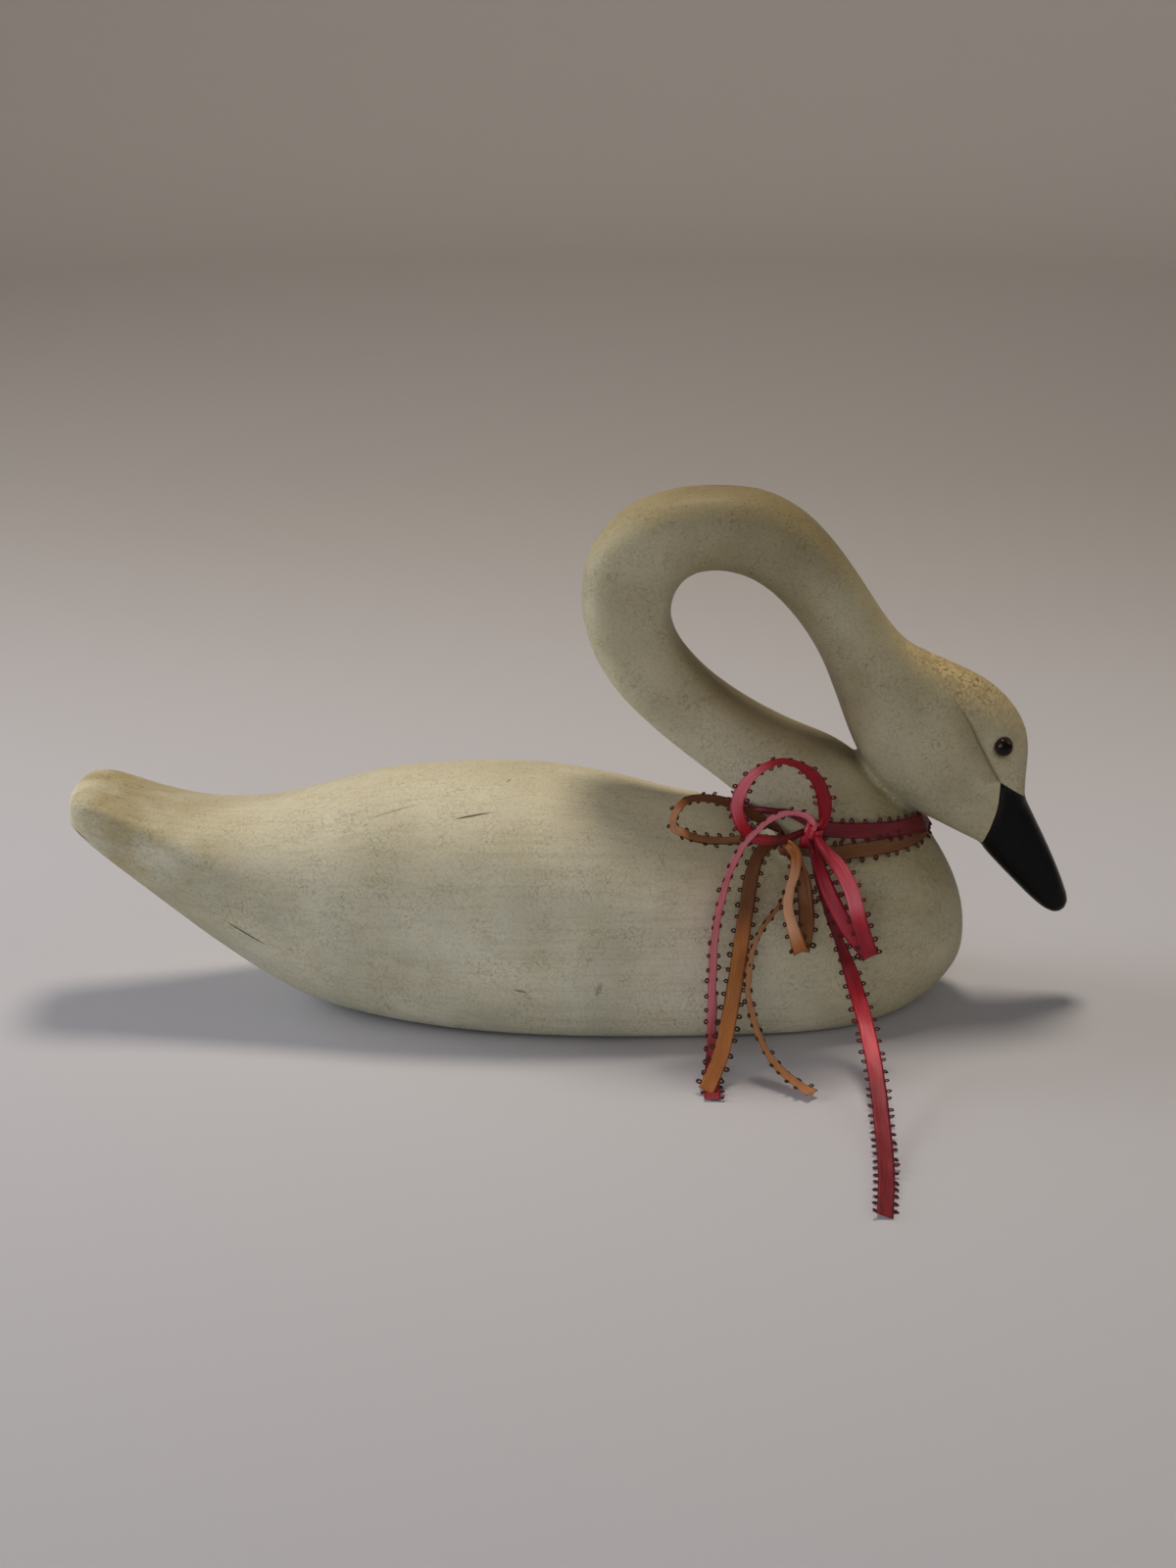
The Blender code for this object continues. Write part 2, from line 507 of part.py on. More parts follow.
def knot(name, tree, place, layer, collection):
    """The knot of a ribbon, sunk into its band."""
    hit, normal = side_surface(tree, place, -1)
    centre = hit + normal * (CLEARANCE + layer * (CLEARANCE + RIBBON_THICKNESS + BAND_SLACK) + KNOT_SIZE[1] / 2)
    shape = bmesh.new()
    bmesh.ops.create_icosphere(shape, subdivisions=2, radius=0.5)
    bmesh.ops.scale(shape, vec=Vector(KNOT_SIZE) * MM, verts=shape.verts)
    bmesh.ops.translate(shape, vec=Vector(centre) * MM, verts=shape.verts)
    return new_object(name, shape, collection), centre


def ribbon(name, look, tree, place, layer, rises, loops, tails, collections):
    """One ribbon, tied: its band, knot, loops and tails as one body."""
    tie, centre = knot(f"{name} knot", tree, place, layer, collections[1])
    shape = bmesh.new()
    neck_band(shape, tree, layer, rises)
    for route, (leaving, coming) in loops:
        loose_strip(shape, in_knot(centre, leaving), route, in_knot(centre, coming))
    for route, leaving in tails:
        loose_strip(shape, in_knot(centre, leaving), route)
    obj = new_object(name, shape, collections[0], look)
    boolean(obj, tie, "UNION", use_self=True)
    smooth_faces(obj, 40)
    return obj


def main():
    clear_scene()
    model = new_collection("ribboned_swan")
    cutters = new_collection("cutters", helper=True)
    painted_wood = material("painted_wood", (0.52, 0.50, 0.38), 0.45)
    glass = material("dark_glass", (0.012, 0.009, 0.008), 0.05, coat=1.0)
    red_satin = material("red_satin", (0.38, 0.012, 0.04), 0.35)
    gold_satin = material("gold_satin", (0.39, 0.14, 0.022), 0.35)

    body = tail_cuts() + body_cuts() + breast_cuts()
    neck = neck_cuts()
    head = head_cuts() + bill_cuts()
    steps = [BODY_RING_STEP] * len(body) + [NECK_RING_STEP] * len(neck) + [HEAD_RING_STEP] * len(head)
    rings = smooth_rings(body + neck + head, steps)
    carving = new_object("swan_carving", carving_mesh(rings), model, painted_wood)
    eye_fields = field_cutter("eye fields", EYE_FIELD_EDGE, EYE_FIELD_OUT, EYE_FIELD_LEAN, EYE_FIELD_AT, cutters)
    boolean(carving, eye_fields, "DIFFERENCE", use_self=True)
    bill_sides = field_cutter("bill sides", BILL_EDGE, BILL_SIDE_OUT, BILL_SIDE_LEAN, BILL_SIDE_AT, cutters)
    boolean(carving, bill_sides, "DIFFERENCE")
    tree = BVHTree.FromObject(carving, bpy.context.evaluated_depsgraph_get())
    for side, name in ((-1, "right"), (1, "left")):
        place, facing = side_surface(tree, EYE_AT, side)
        socket_rows = [(0, -EYE_DEPTH - CLEARANCE), (EYE_DIAMETER / 2 + CLEARANCE, -EYE_DEPTH - CLEARANCE),
                       (EYE_DIAMETER / 2 + CLEARANCE, EYE_DEPTH), (0, EYE_DEPTH)]
        socket = turned_body(f"{name} socket", socket_rows, place, facing, cutters)
        boolean(carving, socket, "DIFFERENCE")
        eye_rows = [(0, -EYE_DEPTH), (EYE_DIAMETER / 2, -EYE_DEPTH), (EYE_DIAMETER / 2, 0)]
        for i in range(1, EYE_DOME_STEPS + 1):
            turn = math.pi / 2 * i / EYE_DOME_STEPS
            eye_rows.append((EYE_DIAMETER / 2 * math.cos(turn), EYE_PROUD * math.sin(turn)))
        eye = turned_body(f"eye_{name}", eye_rows, place, facing, model, glass)
        smooth_faces(eye, 50)
    smooth_faces(carving, 35)
    gold_loops = [(GOLD_LOOP_BACK, (110, 150)), (GOLD_LOOP_DOWN, (350, 310))]
    gold_tails = [(GOLD_TAIL_SIDE, 190), (GOLD_TAIL_CURL, 270)]
    ribbon("gold_ribbon", gold_satin, tree, GOLD_KNOT_AT, 0, GOLD_RISE, gold_loops, gold_tails, (model, cutters))
    red_loops = [(RED_LOOP_UP, (70, 170)), (RED_LOOP_DOWN, (350, 310))]
    red_tails = [(RED_TAIL_BACK, 120), (RED_TAIL_FRONT, 270)]
    ribbon("red_ribbon", red_satin, tree, RED_KNOT_AT, 1, RED_RISE, red_loops, red_tails, (model, cutters))


main()
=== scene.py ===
# %% [markdown]
# This is a wooden swan, carved in one piece, painted cream and then aged with a thin
# brownish wash. It has glass eyes, a black painted bill, and a crimson and a gold-brown ribbon tied
# in one bow at the root of the neck. The frame below is the finished model of its solids, and this
# script dresses it: a smooth skin for the carving, paint, glass, satin, light and a camera.

# %% Load the frame
import math

import bmesh
import bpy
import numpy as np
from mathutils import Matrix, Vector
from mathutils.bvhtree import BVHTree


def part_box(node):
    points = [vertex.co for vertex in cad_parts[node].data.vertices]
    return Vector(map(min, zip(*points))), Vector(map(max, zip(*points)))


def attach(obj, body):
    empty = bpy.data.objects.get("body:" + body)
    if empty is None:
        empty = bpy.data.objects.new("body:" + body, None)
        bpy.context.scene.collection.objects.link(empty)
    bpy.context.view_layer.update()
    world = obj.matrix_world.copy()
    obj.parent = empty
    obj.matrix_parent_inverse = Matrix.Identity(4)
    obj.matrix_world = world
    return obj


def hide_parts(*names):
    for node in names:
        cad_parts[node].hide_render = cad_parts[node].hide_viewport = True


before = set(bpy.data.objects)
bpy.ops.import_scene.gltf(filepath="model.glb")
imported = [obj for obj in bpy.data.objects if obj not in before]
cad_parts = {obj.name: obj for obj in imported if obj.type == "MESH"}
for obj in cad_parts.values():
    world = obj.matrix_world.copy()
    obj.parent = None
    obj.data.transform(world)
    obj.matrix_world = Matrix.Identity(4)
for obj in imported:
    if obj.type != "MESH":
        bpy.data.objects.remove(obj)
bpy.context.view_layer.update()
MM = 0.001
print("pieces in the frame:", ", ".join(sorted(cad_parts)))

# %% [markdown]
# Two helpers come first. A colour is easiest to pick as an sRGB hex value, but a shader works in
# linear light, so one function turns one into the other. One more adds a node with its settings and
# its links, which keeps each material short enough to read. Three settings come back often: the
# product of two masks, a colour laid over another one, and a darkening, which serves both for real
# glazes and for painted shade.

# %% Colours and nodes
TIMES = {"operation": "MULTIPLY"}
LAID_OVER = {"data_type": "RGBA", "blend_type": "MIX"}
DARKEN = {"data_type": "RGBA", "blend_type": "MULTIPLY"}


def linear(code):
    """An sRGB colour such as #C9C6AB as the linear RGBA that a shader takes."""
    shares = [int(code[i : i + 2], 16) / 255 for i in (1, 3, 5)]
    return (*((s / 12.92 if s <= 0.04045 else ((s + 0.055) / 1.055) ** 2.4) for s in shares), 1.0)


def add_node(tree, kind, inputs=None, out=None, **settings):
    """Adds a node with its settings and its inputs' values or links. It gives the node or one output."""
    node = tree.nodes.new("ShaderNode" + kind)
    for name, value in settings.items():
        setattr(node, name, value)
    for socket, value in (inputs or {}).items():
        if isinstance(value, bpy.types.NodeSocket):
            tree.links.new(value, node.inputs[socket])
        else:
            node.inputs[socket].default_value = value
    return node if out is None else node.outputs[out]


def new_material(name):
    """An empty node material, its tree and its shader."""
    material = bpy.data.materials.new(name)
    material.use_nodes = True
    tree = material.node_tree
    return material, tree, tree.nodes["Principled BSDF"]


def add_object(name, data):
    """A new object in the scene that shows a mesh, a lamp or a camera."""
    obj = bpy.data.objects.new(name, data)
    bpy.context.scene.collection.objects.link(obj)
    return obj


def only_select(obj):
    """Selects one object and makes it the active one, so that operators act on nothing else."""
    bpy.ops.object.select_all(action="DESELECT")
    obj.select_set(True)
    bpy.context.view_layer.objects.active = obj


def apply_modifiers(obj):
    """Turns an object's modifiers into its own mesh, in their order."""
    only_select(obj)
    for modifier in list(obj.modifiers):
        bpy.ops.object.modifier_apply(modifier=modifier.name)


# %% [markdown]
# The photograph looks down on the swan's right side from about a metre away. The lens comes from
# how fast its sides draw together, so it is set before anything else is judged.

# %% Set the camera
CAMERA_AT = (-18.5, -1006.8, 447.2)
CAMERA_TILT = 70.4  # degrees from straight down
CAMERA_LENS = 63.0

camera_data = bpy.data.cameras.new("camera")
camera_data.lens = CAMERA_LENS
camera_data.sensor_width = 36.0
camera = add_object("camera", camera_data)
camera.location = Vector(CAMERA_AT) * MM
camera.rotation_euler = (math.radians(CAMERA_TILT), 0, 0)
bpy.context.scene.camera = camera
print("camera is", round(camera.location.length, 3), "m from the middle of the base")

# %% [markdown]
# The swan stands on pale paper that turns up into a wall all round, well behind where any camera
# stands. A disc whose rim is extruded upwards does it, and a bevel on the fold makes the turn soft, so
# that no hard line shows. Painted shade makes it a little warmer and darker just behind the swan, as
# the wall behind the real swan is, and painted light makes it paler further back, against the lamps'
# fall-off.

# %% Make the paper
PAPER_RADIUS = 2.7
PAPER_HEIGHT = 2.2
PAPER_TURN = 0.8

bpy.ops.object.select_all(action="DESELECT")
bpy.ops.mesh.primitive_circle_add(vertices=96, radius=PAPER_RADIUS, fill_type="NGON")
floor = bpy.context.object
floor.name = "paper_floor"
bpy.ops.object.mode_set(mode="EDIT")
bpy.ops.mesh.select_mode(type="EDGE")
bpy.ops.mesh.select_all(action="SELECT")
bpy.ops.mesh.extrude_edges_move(TRANSFORM_OT_translate={"value": (0, 0, PAPER_HEIGHT)})
bpy.ops.mesh.select_all(action="DESELECT")
shape = bmesh.from_edit_mesh(floor.data)
for edge in shape.edges:
    edge.select_set(all(v.co.z < 1e-4 for v in edge.verts))
bmesh.update_edit_mesh(floor.data)
bpy.ops.mesh.bevel(offset=PAPER_TURN, segments=16, affect="EDGES")
bpy.ops.mesh.select_all(action="SELECT")
bpy.ops.mesh.normals_make_consistent(inside=True)
bpy.ops.mesh.select_mode(type="VERT")
bpy.ops.object.mode_set(mode="OBJECT")
floor.data.shade_smooth()
print("paper has", len(floor.data.polygons), "faces")

# %% Matt paper
# Uncoated paper gives back no gloss, only a soft even tone that keeps the swan's shadow.
BEHIND = (0.15, 0.75)  # metres behind the middle of the base between which the tone changes
FAR_BACK = (0.9, 2.2)

paper, tree, shader = new_material("matt_paper")
coords = add_node(tree, "TexCoord", out="Object")
apart = add_node(tree, "SeparateXYZ", {"Vector": coords})
# Painted shade just behind the swan, and painted light further back.
behind = add_node(tree, "MapRange", {0: apart.outputs["Y"], 1: BEHIND[0], 2: BEHIND[1]}, 0)
far = add_node(tree, "MapRange", {0: apart.outputs["Y"], 1: FAR_BACK[0], 2: FAR_BACK[1]}, 0)
tone = add_node(tree, "Mix", {0: behind, 6: linear("#C1C0C2"), 7: linear("#BCB6AE")}, 2, **LAID_OVER)
tone = add_node(tree, "Mix", {0: far, 6: tone, 7: linear("#D8D0C6")}, 2, **LAID_OVER)
tree.links.new(tone, shader.inputs["Base Color"])
shader.inputs["Roughness"].default_value = 0.9
floor.data.materials.append(paper)

# %% [markdown]
# The photograph has soft room light: a warm one from above, a cooler one from the left that catches
# the neck's left rim, a weak one from the right, and a wide glow from low in front that lifts the
# underside. Two more light only the paper, far behind the swan and far behind the camera.

# %% Set the lamps
LAMPS = [
    ("overhead", (0.02, 0.22, 1.08), (0.0, 0.0, 0.1), (0.30, 0.30), 5.9, "#FFF3E4"),
    ("right_window", (1.25, -0.6, 0.8), (0.0, 0.0, 0.1), (0.8, 0.8), 1.8, "#FFF4E6"),
    ("left_window", (-1.35, 0.2, 0.55), (0.0, 0.0, 0.1), (0.8, 0.8), 11.5, "#F2F4FF"),
    ("low_front", (-0.5, -2.25, 0.62), (0.0, 0.0, 0.05), (1.8, 0.9), 10.4, "#F4F6FF"),
    ("wall_light", (0.0, 0.9, 1.35), (0.0, 2.7, 0.85), (1.6, 0.4), 4.2, "#FFF4EC"),
    ("near_wall_light", (0.0, -1.15, 1.6), (0.0, -2.7, 1.35), (1.6, 0.4), 5.0, "#F6F4F6"),
]

for name, place, aim, (width, tallness), power, colour in LAMPS:
    lamp_data = bpy.data.lights.new(name, "AREA")
    lamp_data.shape = "ELLIPSE"
    lamp_data.size = width
    lamp_data.size_y = tallness
    lamp_data.energy = power
    lamp_data.color = linear(colour)[:3]
    lamp = add_object(name, lamp_data)
    lamp.location = place
    lamp.rotation_euler = (Vector(aim) - Vector(place)).to_track_quat("-Z", "Y").to_euler()

world = bpy.data.worlds.new("room")
world.use_nodes = True
background = world.node_tree.nodes["Background"]
background.inputs["Color"].default_value = linear("#E9E7EA")
background.inputs["Strength"].default_value = 0.14
bpy.context.scene.world = world
bpy.context.scene.view_settings.view_transform = "Standard"
print("lamps:", ", ".join(row[0] for row in LAMPS))

# %% [markdown]
# The solid in the frame has small flat faces. The real carving is sanded smooth, with soft steps
# where the cheek and the bill were cut back. A copy of the solid is merged, its sharp edges are
# creased and it is subdivided, which rounds the faces. A voxel remesh then gives it even faces, so
# that no long thin triangle left by the cutting catches the light, and a little smoothing takes the
# knife's edge off the steps.

# %% Make the skin
SHARP_ANGLE = 50.0
SKIN_VOXEL = 1.42
SKIN_SMOOTHING = 3

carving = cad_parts["swan_carving"]
skin = add_object("carved_skin", carving.data.copy())
skin.data.materials.clear()
only_select(skin)
bpy.ops.object.mode_set(mode="EDIT")
bpy.ops.mesh.select_all(action="SELECT")
bpy.ops.mesh.remove_doubles(threshold=0.005 * MM)
bpy.ops.mesh.tris_convert_to_quads(face_threshold=math.radians(40), shape_threshold=math.radians(60))
bpy.ops.mesh.select_all(action="DESELECT")
bpy.ops.mesh.edges_select_sharp(sharpness=math.radians(SHARP_ANGLE))
bpy.ops.transform.edge_crease(value=1.0)
bpy.ops.object.mode_set(mode="OBJECT")
print("merged copy of the carving:", len(skin.data.polygons), "faces")

# %% Round it and give it even faces
rounded = skin.modifiers.new("rounded", "SUBSURF")
rounded.levels = rounded.render_levels = 2
even = skin.modifiers.new("even faces", "REMESH")
even.mode = "VOXEL"
even.voxel_size = SKIN_VOXEL * MM
sanded = skin.modifiers.new("sanded", "SMOOTH")
sanded.factor = 0.5
sanded.iterations = SKIN_SMOOTHING
apply_modifiers(skin)
skin.data.shade_smooth()
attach(skin, "root")
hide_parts("swan_carving")
print("skin:", len(skin.data.polygons), "faces")

# %% [markdown]
# The swan is brushed with cream paint over wood, and then with a thin brownish wash. Up close that is
# many things at once: wide soft patches, brush marks along the body, squiggles of fine crackle, a
# browner neck and head, and a crown and tail gone yellow. Light and shade are painted in as well: a
# warm light on the tops, shade over the neck, head, breast and tail, in the carved step by the eye and
# where it stands, and a light rim at the end of the tail. All of it reads the carving's own coordinates
# in millimetres, so each size in it is a real one.

# %% Ways to lay and place paint
LINE_FROM = 100.0  # lines on the head are drawn between these two places along the swan
LINE_TO = 150.0


def near(tree, place, centre, reach, along=(1, 0, 0), soft=0.4):
    """1 around a place, fading to 0 at the edge of an egg whose first reach lies along a direction."""
    turn = Vector((1, 0, 0)).rotation_difference(Vector(along)).to_euler()
    inputs = {"Vector": place, "Location": centre, "Rotation": turn, "Scale": reach}
    own = add_node(tree, "Mapping", inputs, 0, vector_type="TEXTURE")
    distance = add_node(tree, "VectorMath", {0: own}, "Value", operation="LENGTH")
    return add_node(tree, "MapRange", {0: distance, 1: 1.0, 2: soft}, 0)


def ahead_of_line(tree, along, height, line):
    """How far a place lies ahead of a line on the head, which is drawn as (height, place along)."""
    low, high = line[0][0], line[-1][0]
    share = add_node(tree, "MapRange", {0: height, 1: low, 2: high}, 0)
    drawn = add_node(tree, "FloatCurve", {"Value": share})
    curve = drawn.mapping.curves[0]
    places = [((z - low) / (high - low), (x - LINE_FROM) / (LINE_TO - LINE_FROM)) for z, x in line]
    for place in places[1:-1]:
        curve.points.new(*place)
    curve.points[0].location = places[0]
    curve.points[-1].location = places[-1]
    drawn.mapping.update()
    line_at = add_node(tree, "MapRange", {0: drawn.outputs["Value"], 3: LINE_FROM, 4: LINE_TO}, 0)
    return add_node(tree, "Math", {0: along, 1: line_at}, 0, operation="SUBTRACT")


def laid(tree, under, mask, strength, code, way):
    """The paint with a colour laid over it or darkened by it, where and as far as a mask says."""
    share = add_node(tree, "Math", {0: mask, 1: strength}, 0, **TIMES)
    return add_node(tree, "Mix", {0: share, 6: under, 7: linear(code)}, 2, **way)


painted_wood, tree, shader = new_material("painted_wood")
coords = add_node(tree, "TexCoord", out="Object")
in_mm = add_node(tree, "Mapping", {"Vector": coords, "Scale": (1000, 1000, 1000)}, 0)
apart = add_node(tree, "SeparateXYZ", {"Vector": in_mm})
along, height = apart.outputs["X"], apart.outputs["Z"]
facing = add_node(tree, "NewGeometry", out="Normal")
upward = add_node(tree, "SeparateXYZ", {"Vector": facing}, "Z")
print("paint reads millimetres along the swan and up")

# %% Base coat
# Two creams in patches, with a warmer cloud here and there.
PATCH_SIZE = 40.0
CLOUD_SIZE = 16.0
patch = add_node(tree, "TexNoise", {"Vector": in_mm, "Scale": 1 / PATCH_SIZE, "Detail": 5.0}, 0)
share = add_node(tree, "MapRange", {0: patch, 1: 0.38, 2: 0.62}, 0)
paint = add_node(tree, "Mix", {0: share, 6: linear("#BCBAA3"), 7: linear("#D6D4BE")}, 2, **LAID_OVER)
cloud = add_node(tree, "TexNoise", {"Vector": in_mm, "Scale": 1 / CLOUD_SIZE, "Detail": 4.0}, 0)
share = add_node(tree, "MapRange", {0: cloud, 1: 0.42, 2: 0.70, 4: 0.35}, 0)
paint = add_node(tree, "Mix", {0: share, 6: paint, 7: linear("#C7BC98")}, 2, **LAID_OVER)
print("patches of", PATCH_SIZE, "mm and clouds of", CLOUD_SIZE, "mm")

# %% Brush marks and painted light on the tops
# The brush went along the body. A warm tan is painted wherever the paint faces up, as painted light from
# above.
BRUSH_LENGTH = 60.0
BRUSH_WIDTH = 2.2
stretch = (1 / BRUSH_LENGTH, 1 / BRUSH_WIDTH, 1 / BRUSH_WIDTH)
drawn_out = add_node(tree, "Mapping", {"Vector": in_mm, "Scale": stretch}, 0)
brush = add_node(tree, "TexNoise", {"Vector": drawn_out, "Scale": 1.0, "Detail": 4.0}, 0)
# Painted light: a warm tan on the faces that look up, broken by the brush marks.
painted_top_light = add_node(tree, "MapRange", {0: upward, 1: -0.1, 2: 0.95, 4: 0.62}, 0)
uneven = add_node(tree, "MapRange", {0: brush, 1: 0.25, 2: 0.62, 3: 0.78}, 0)
painted_top_light = add_node(tree, "Math", {0: painted_top_light, 1: uneven}, 0, **TIMES)
paint = add_node(tree, "Mix", {0: painted_top_light, 6: paint, 7: linear("#D0C5A3")}, 2, **LAID_OVER)
marks = add_node(tree, "MapRange", {0: brush, 1: 0.48, 2: 0.72, 4: 0.20}, 0)
on_body = add_node(tree, "MapRange", {0: height, 1: 98.0, 2: 88.0}, 0)
marks = add_node(tree, "Math", {0: marks, 1: on_body}, 0, **TIMES)
paint = add_node(tree, "Mix", {0: marks, 6: paint, 7: linear("#B9AC88")}, 2, **DARKEN)
print("brush marks are", BRUSH_WIDTH, "mm wide")

# %% Crackle
# Fine squiggles are the lines where one cloudy noise passes through its middle value.
CRACKLE_SIZE = 2.5
CRACKLE_PATCH = 13.0
squiggle = add_node(tree, "TexNoise", {"Vector": in_mm, "Scale": 1 / CRACKLE_SIZE, "Detail": 1.5}, 0)
middle = add_node(tree, "Math", {0: squiggle, 1: 0.5}, 0, operation="SUBTRACT")
middle = add_node(tree, "Math", {0: middle}, 0, operation="ABSOLUTE")
lines = add_node(tree, "MapRange", {0: middle, 2: 0.035, 3: 1.0, 4: 0.0}, 0)
patchy = add_node(tree, "TexNoise", {"Vector": in_mm, "Scale": 1 / CRACKLE_PATCH, "Detail": 3.0}, 0)
strength = add_node(tree, "MapRange", {0: patchy, 1: 0.40, 2: 0.62, 3: 0.10, 4: 0.42}, 0)
crackle = add_node(tree, "Math", {0: lines, 1: strength}, 0, **TIMES)
paint = add_node(tree, "Mix", {0: crackle, 6: paint, 7: linear("#8A7F5C")}, 2, **DARKEN)
print("crackle has squiggles of", CRACKLE_SIZE, "mm")

# %% Grain and specks
GRAIN_SIZE = 0.9
SPECK_SPACING = 15.0
grain = add_node(tree, "TexNoise", {"Vector": in_mm, "Scale": 1 / GRAIN_SIZE, "Detail": 3.0}, 0)
share = add_node(tree, "MapRange", {0: grain, 1: 0.48, 2: 0.72, 4: 0.28}, 0)
paint = add_node(tree, "Mix", {0: share, 6: paint, 7: linear("#B4AB8B")}, 2, **DARKEN)
specks = add_node(tree, "TexVoronoi", {"Vector": in_mm, "Scale": 1 / SPECK_SPACING}, "Distance")
share = add_node(tree, "MapRange", {0: specks, 1: 0.016, 2: 0.030, 3: 0.55, 4: 0.0}, 0)
paint = add_node(tree, "Mix", {0: share, 6: paint, 7: linear("#5A4E38")}, 2, **LAID_OVER)
print("grain is", GRAIN_SIZE, "mm, and specks stand about", SPECK_SPACING, "mm apart")

# %% Darker neck, head and breast, partly wash and partly painted shade
# From the breast forwards and from the neck up the paint is darker, partly from a thicker wash and
# partly as painted shade. The tops there and the arch of the neck get more painted shade.
fore = add_node(tree, "MapRange", {0: along, 1: 18.0, 2: 92.0}, 0)
raised = add_node(tree, "MapRange", {0: height, 1: 92.0, 2: 128.0}, 0)
wash_and_shade = add_node(tree, "Math", {0: fore, 1: raised}, 0, operation="MAXIMUM")
paint = laid(tree, paint, wash_and_shade, 0.72, "#D4CCB8", DARKEN)
# Painted shade on the tops of the darker front, by how far they face up.
painted_top_shade = add_node(tree, "MapRange", {0: upward, 2: 0.8, 4: 0.6}, 0)
share = add_node(tree, "Math", {0: wash_and_shade, 1: painted_top_shade}, 0, **TIMES)
paint = add_node(tree, "Mix", {0: share, 6: paint, 7: linear("#BDB498")}, 2, **DARKEN)
edge_of_neck = near(tree, in_mm, (54, 0, 140), (50, 60, 30), along=(0.70, 0, -0.71), soft=0.80)
paint = laid(tree, paint, edge_of_neck, 0.32, "#B99F6F", DARKEN)
# Painted shade over the arch of the neck.
painted_arch_shade = near(tree, in_mm, (52, 0, 192), (56, 40, 42), soft=0.45)
paint = laid(tree, paint, painted_arch_shade, 0.55, "#BBB095", DARKEN)
print("wash covers the front from 18 mm ahead of the middle")

# %% Yellow crown
# The crown has yellowed in patches, and brown lines wriggle through it.
BLOT_SIZE = 6.0
crown = near(tree, in_mm, (122, 0, 136), (44, 20, 15), along=(0.80, 0, -0.60), soft=0.35)
brow = near(tree, in_mm, (148, 0, 113), (15, 13, 15), soft=0.2)
brow = add_node(tree, "Math", {0: brow, 1: 0.5}, 0, **TIMES)
blots = add_node(tree, "TexNoise", {"Vector": in_mm, "Scale": 1 / BLOT_SIZE, "Detail": 4.0}, 0)
blots = add_node(tree, "MapRange", {0: blots, 1: 0.35, 2: 0.62, 3: 0.25}, 0)
yellow = add_node(tree, "Math", {0: crown, 1: brow}, 0, operation="MAXIMUM")
yellow = add_node(tree, "Math", {0: yellow, 1: blots}, 0, **TIMES)
paint = laid(tree, paint, yellow, 0.66, "#DDC58C", LAID_OVER)
worms = add_node(tree, "MapRange", {0: middle, 1: 0.01, 2: 0.065, 3: 0.85, 4: 0.0}, 0)
share = add_node(tree, "Math", {0: worms, 1: yellow}, 0, **TIMES)
paint = add_node(tree, "Mix", {0: share, 6: paint, 7: linear("#6E5228")}, 2, **LAID_OVER)
print("crown is yellow, in blots of", BLOT_SIZE, "mm")

# %% Yellow tail, with painted shade and a painted highlight at its end
# The tail's glaze is partly real yellowing and partly painted shade.
tail = add_node(tree, "MapRange", {0: along, 1: -150.0, 2: -205.0}, 0)
blots = add_node(tree, "MapRange", {0: cloud, 1: 0.36, 2: 0.60, 3: 0.25}, 0)
tail = add_node(tree, "Math", {0: tail, 1: blots}, 0, **TIMES)
paint = laid(tree, paint, tail, 0.72, "#CBBC93", DARKEN)
# Painted highlight: a pale rim round the rounded end of the tail.
painted_tail_end_light = add_node(tree, "MapRange", {0: along, 1: -216.5, 2: -218.5, 4: 0.55}, 0)
paint = add_node(tree, "Mix", {0: painted_tail_end_light, 6: paint, 7: linear("#DAD3B6")}, 2, **LAID_OVER)
print("tail is yellow from 150 mm behind the middle")

# %% Carved line round the eye
# The knife left a step from the crown to the bill that bounds the field of the eye. The shade in the
# step is painted as a thin dark line, and painted shade makes the cheek behind it a little darker.
EYE_FIELD = [
    (95.2, 139.4), (100.0, 136.5), (105.4, 133.7), (111.3, 130.6), (117.0, 127.8), (121.6, 125.0),
    (126.5, 121.2), (136.4, 113.5),
]
ahead = ahead_of_line(tree, along, height, EYE_FIELD)
off_line = add_node(tree, "Math", {0: ahead}, 0, operation="ABSOLUTE")
step = add_node(tree, "MapRange", {0: off_line, 1: 0.15, 2: 1.05, 3: 1.0, 4: 0.0}, 0)
above_bill = add_node(tree, "MapRange", {0: height, 1: 94.4, 2: 95.2}, 0)
fading = add_node(tree, "MapRange", {0: height, 1: 131.0, 2: 117.0}, 0)
on_head = add_node(tree, "Math", {0: above_bill, 1: fading}, 0, **TIMES)
step = add_node(tree, "Math", {0: step, 1: on_head}, 0, **TIMES)
# Painted shade: a thin dark line along the step.
paint = laid(tree, paint, step, 0.45, "#4F4632", LAID_OVER)
# Painted shade on the cheek just behind the line.
behind = add_node(tree, "MapRange", {0: ahead, 1: -9.0, 2: -0.3}, 0)
near_line = add_node(tree, "MapRange", {0: ahead, 1: 0.3, 2: 0.0}, 0)
behind = add_node(tree, "Math", {0: behind, 1: near_line}, 0, **TIMES)
behind = add_node(tree, "Math", {0: behind, 1: on_head}, 0, **TIMES)
paint = laid(tree, paint, behind, 0.5, "#B7B096", DARKEN)
print("eye field is bounded by", len(EYE_FIELD), "places")

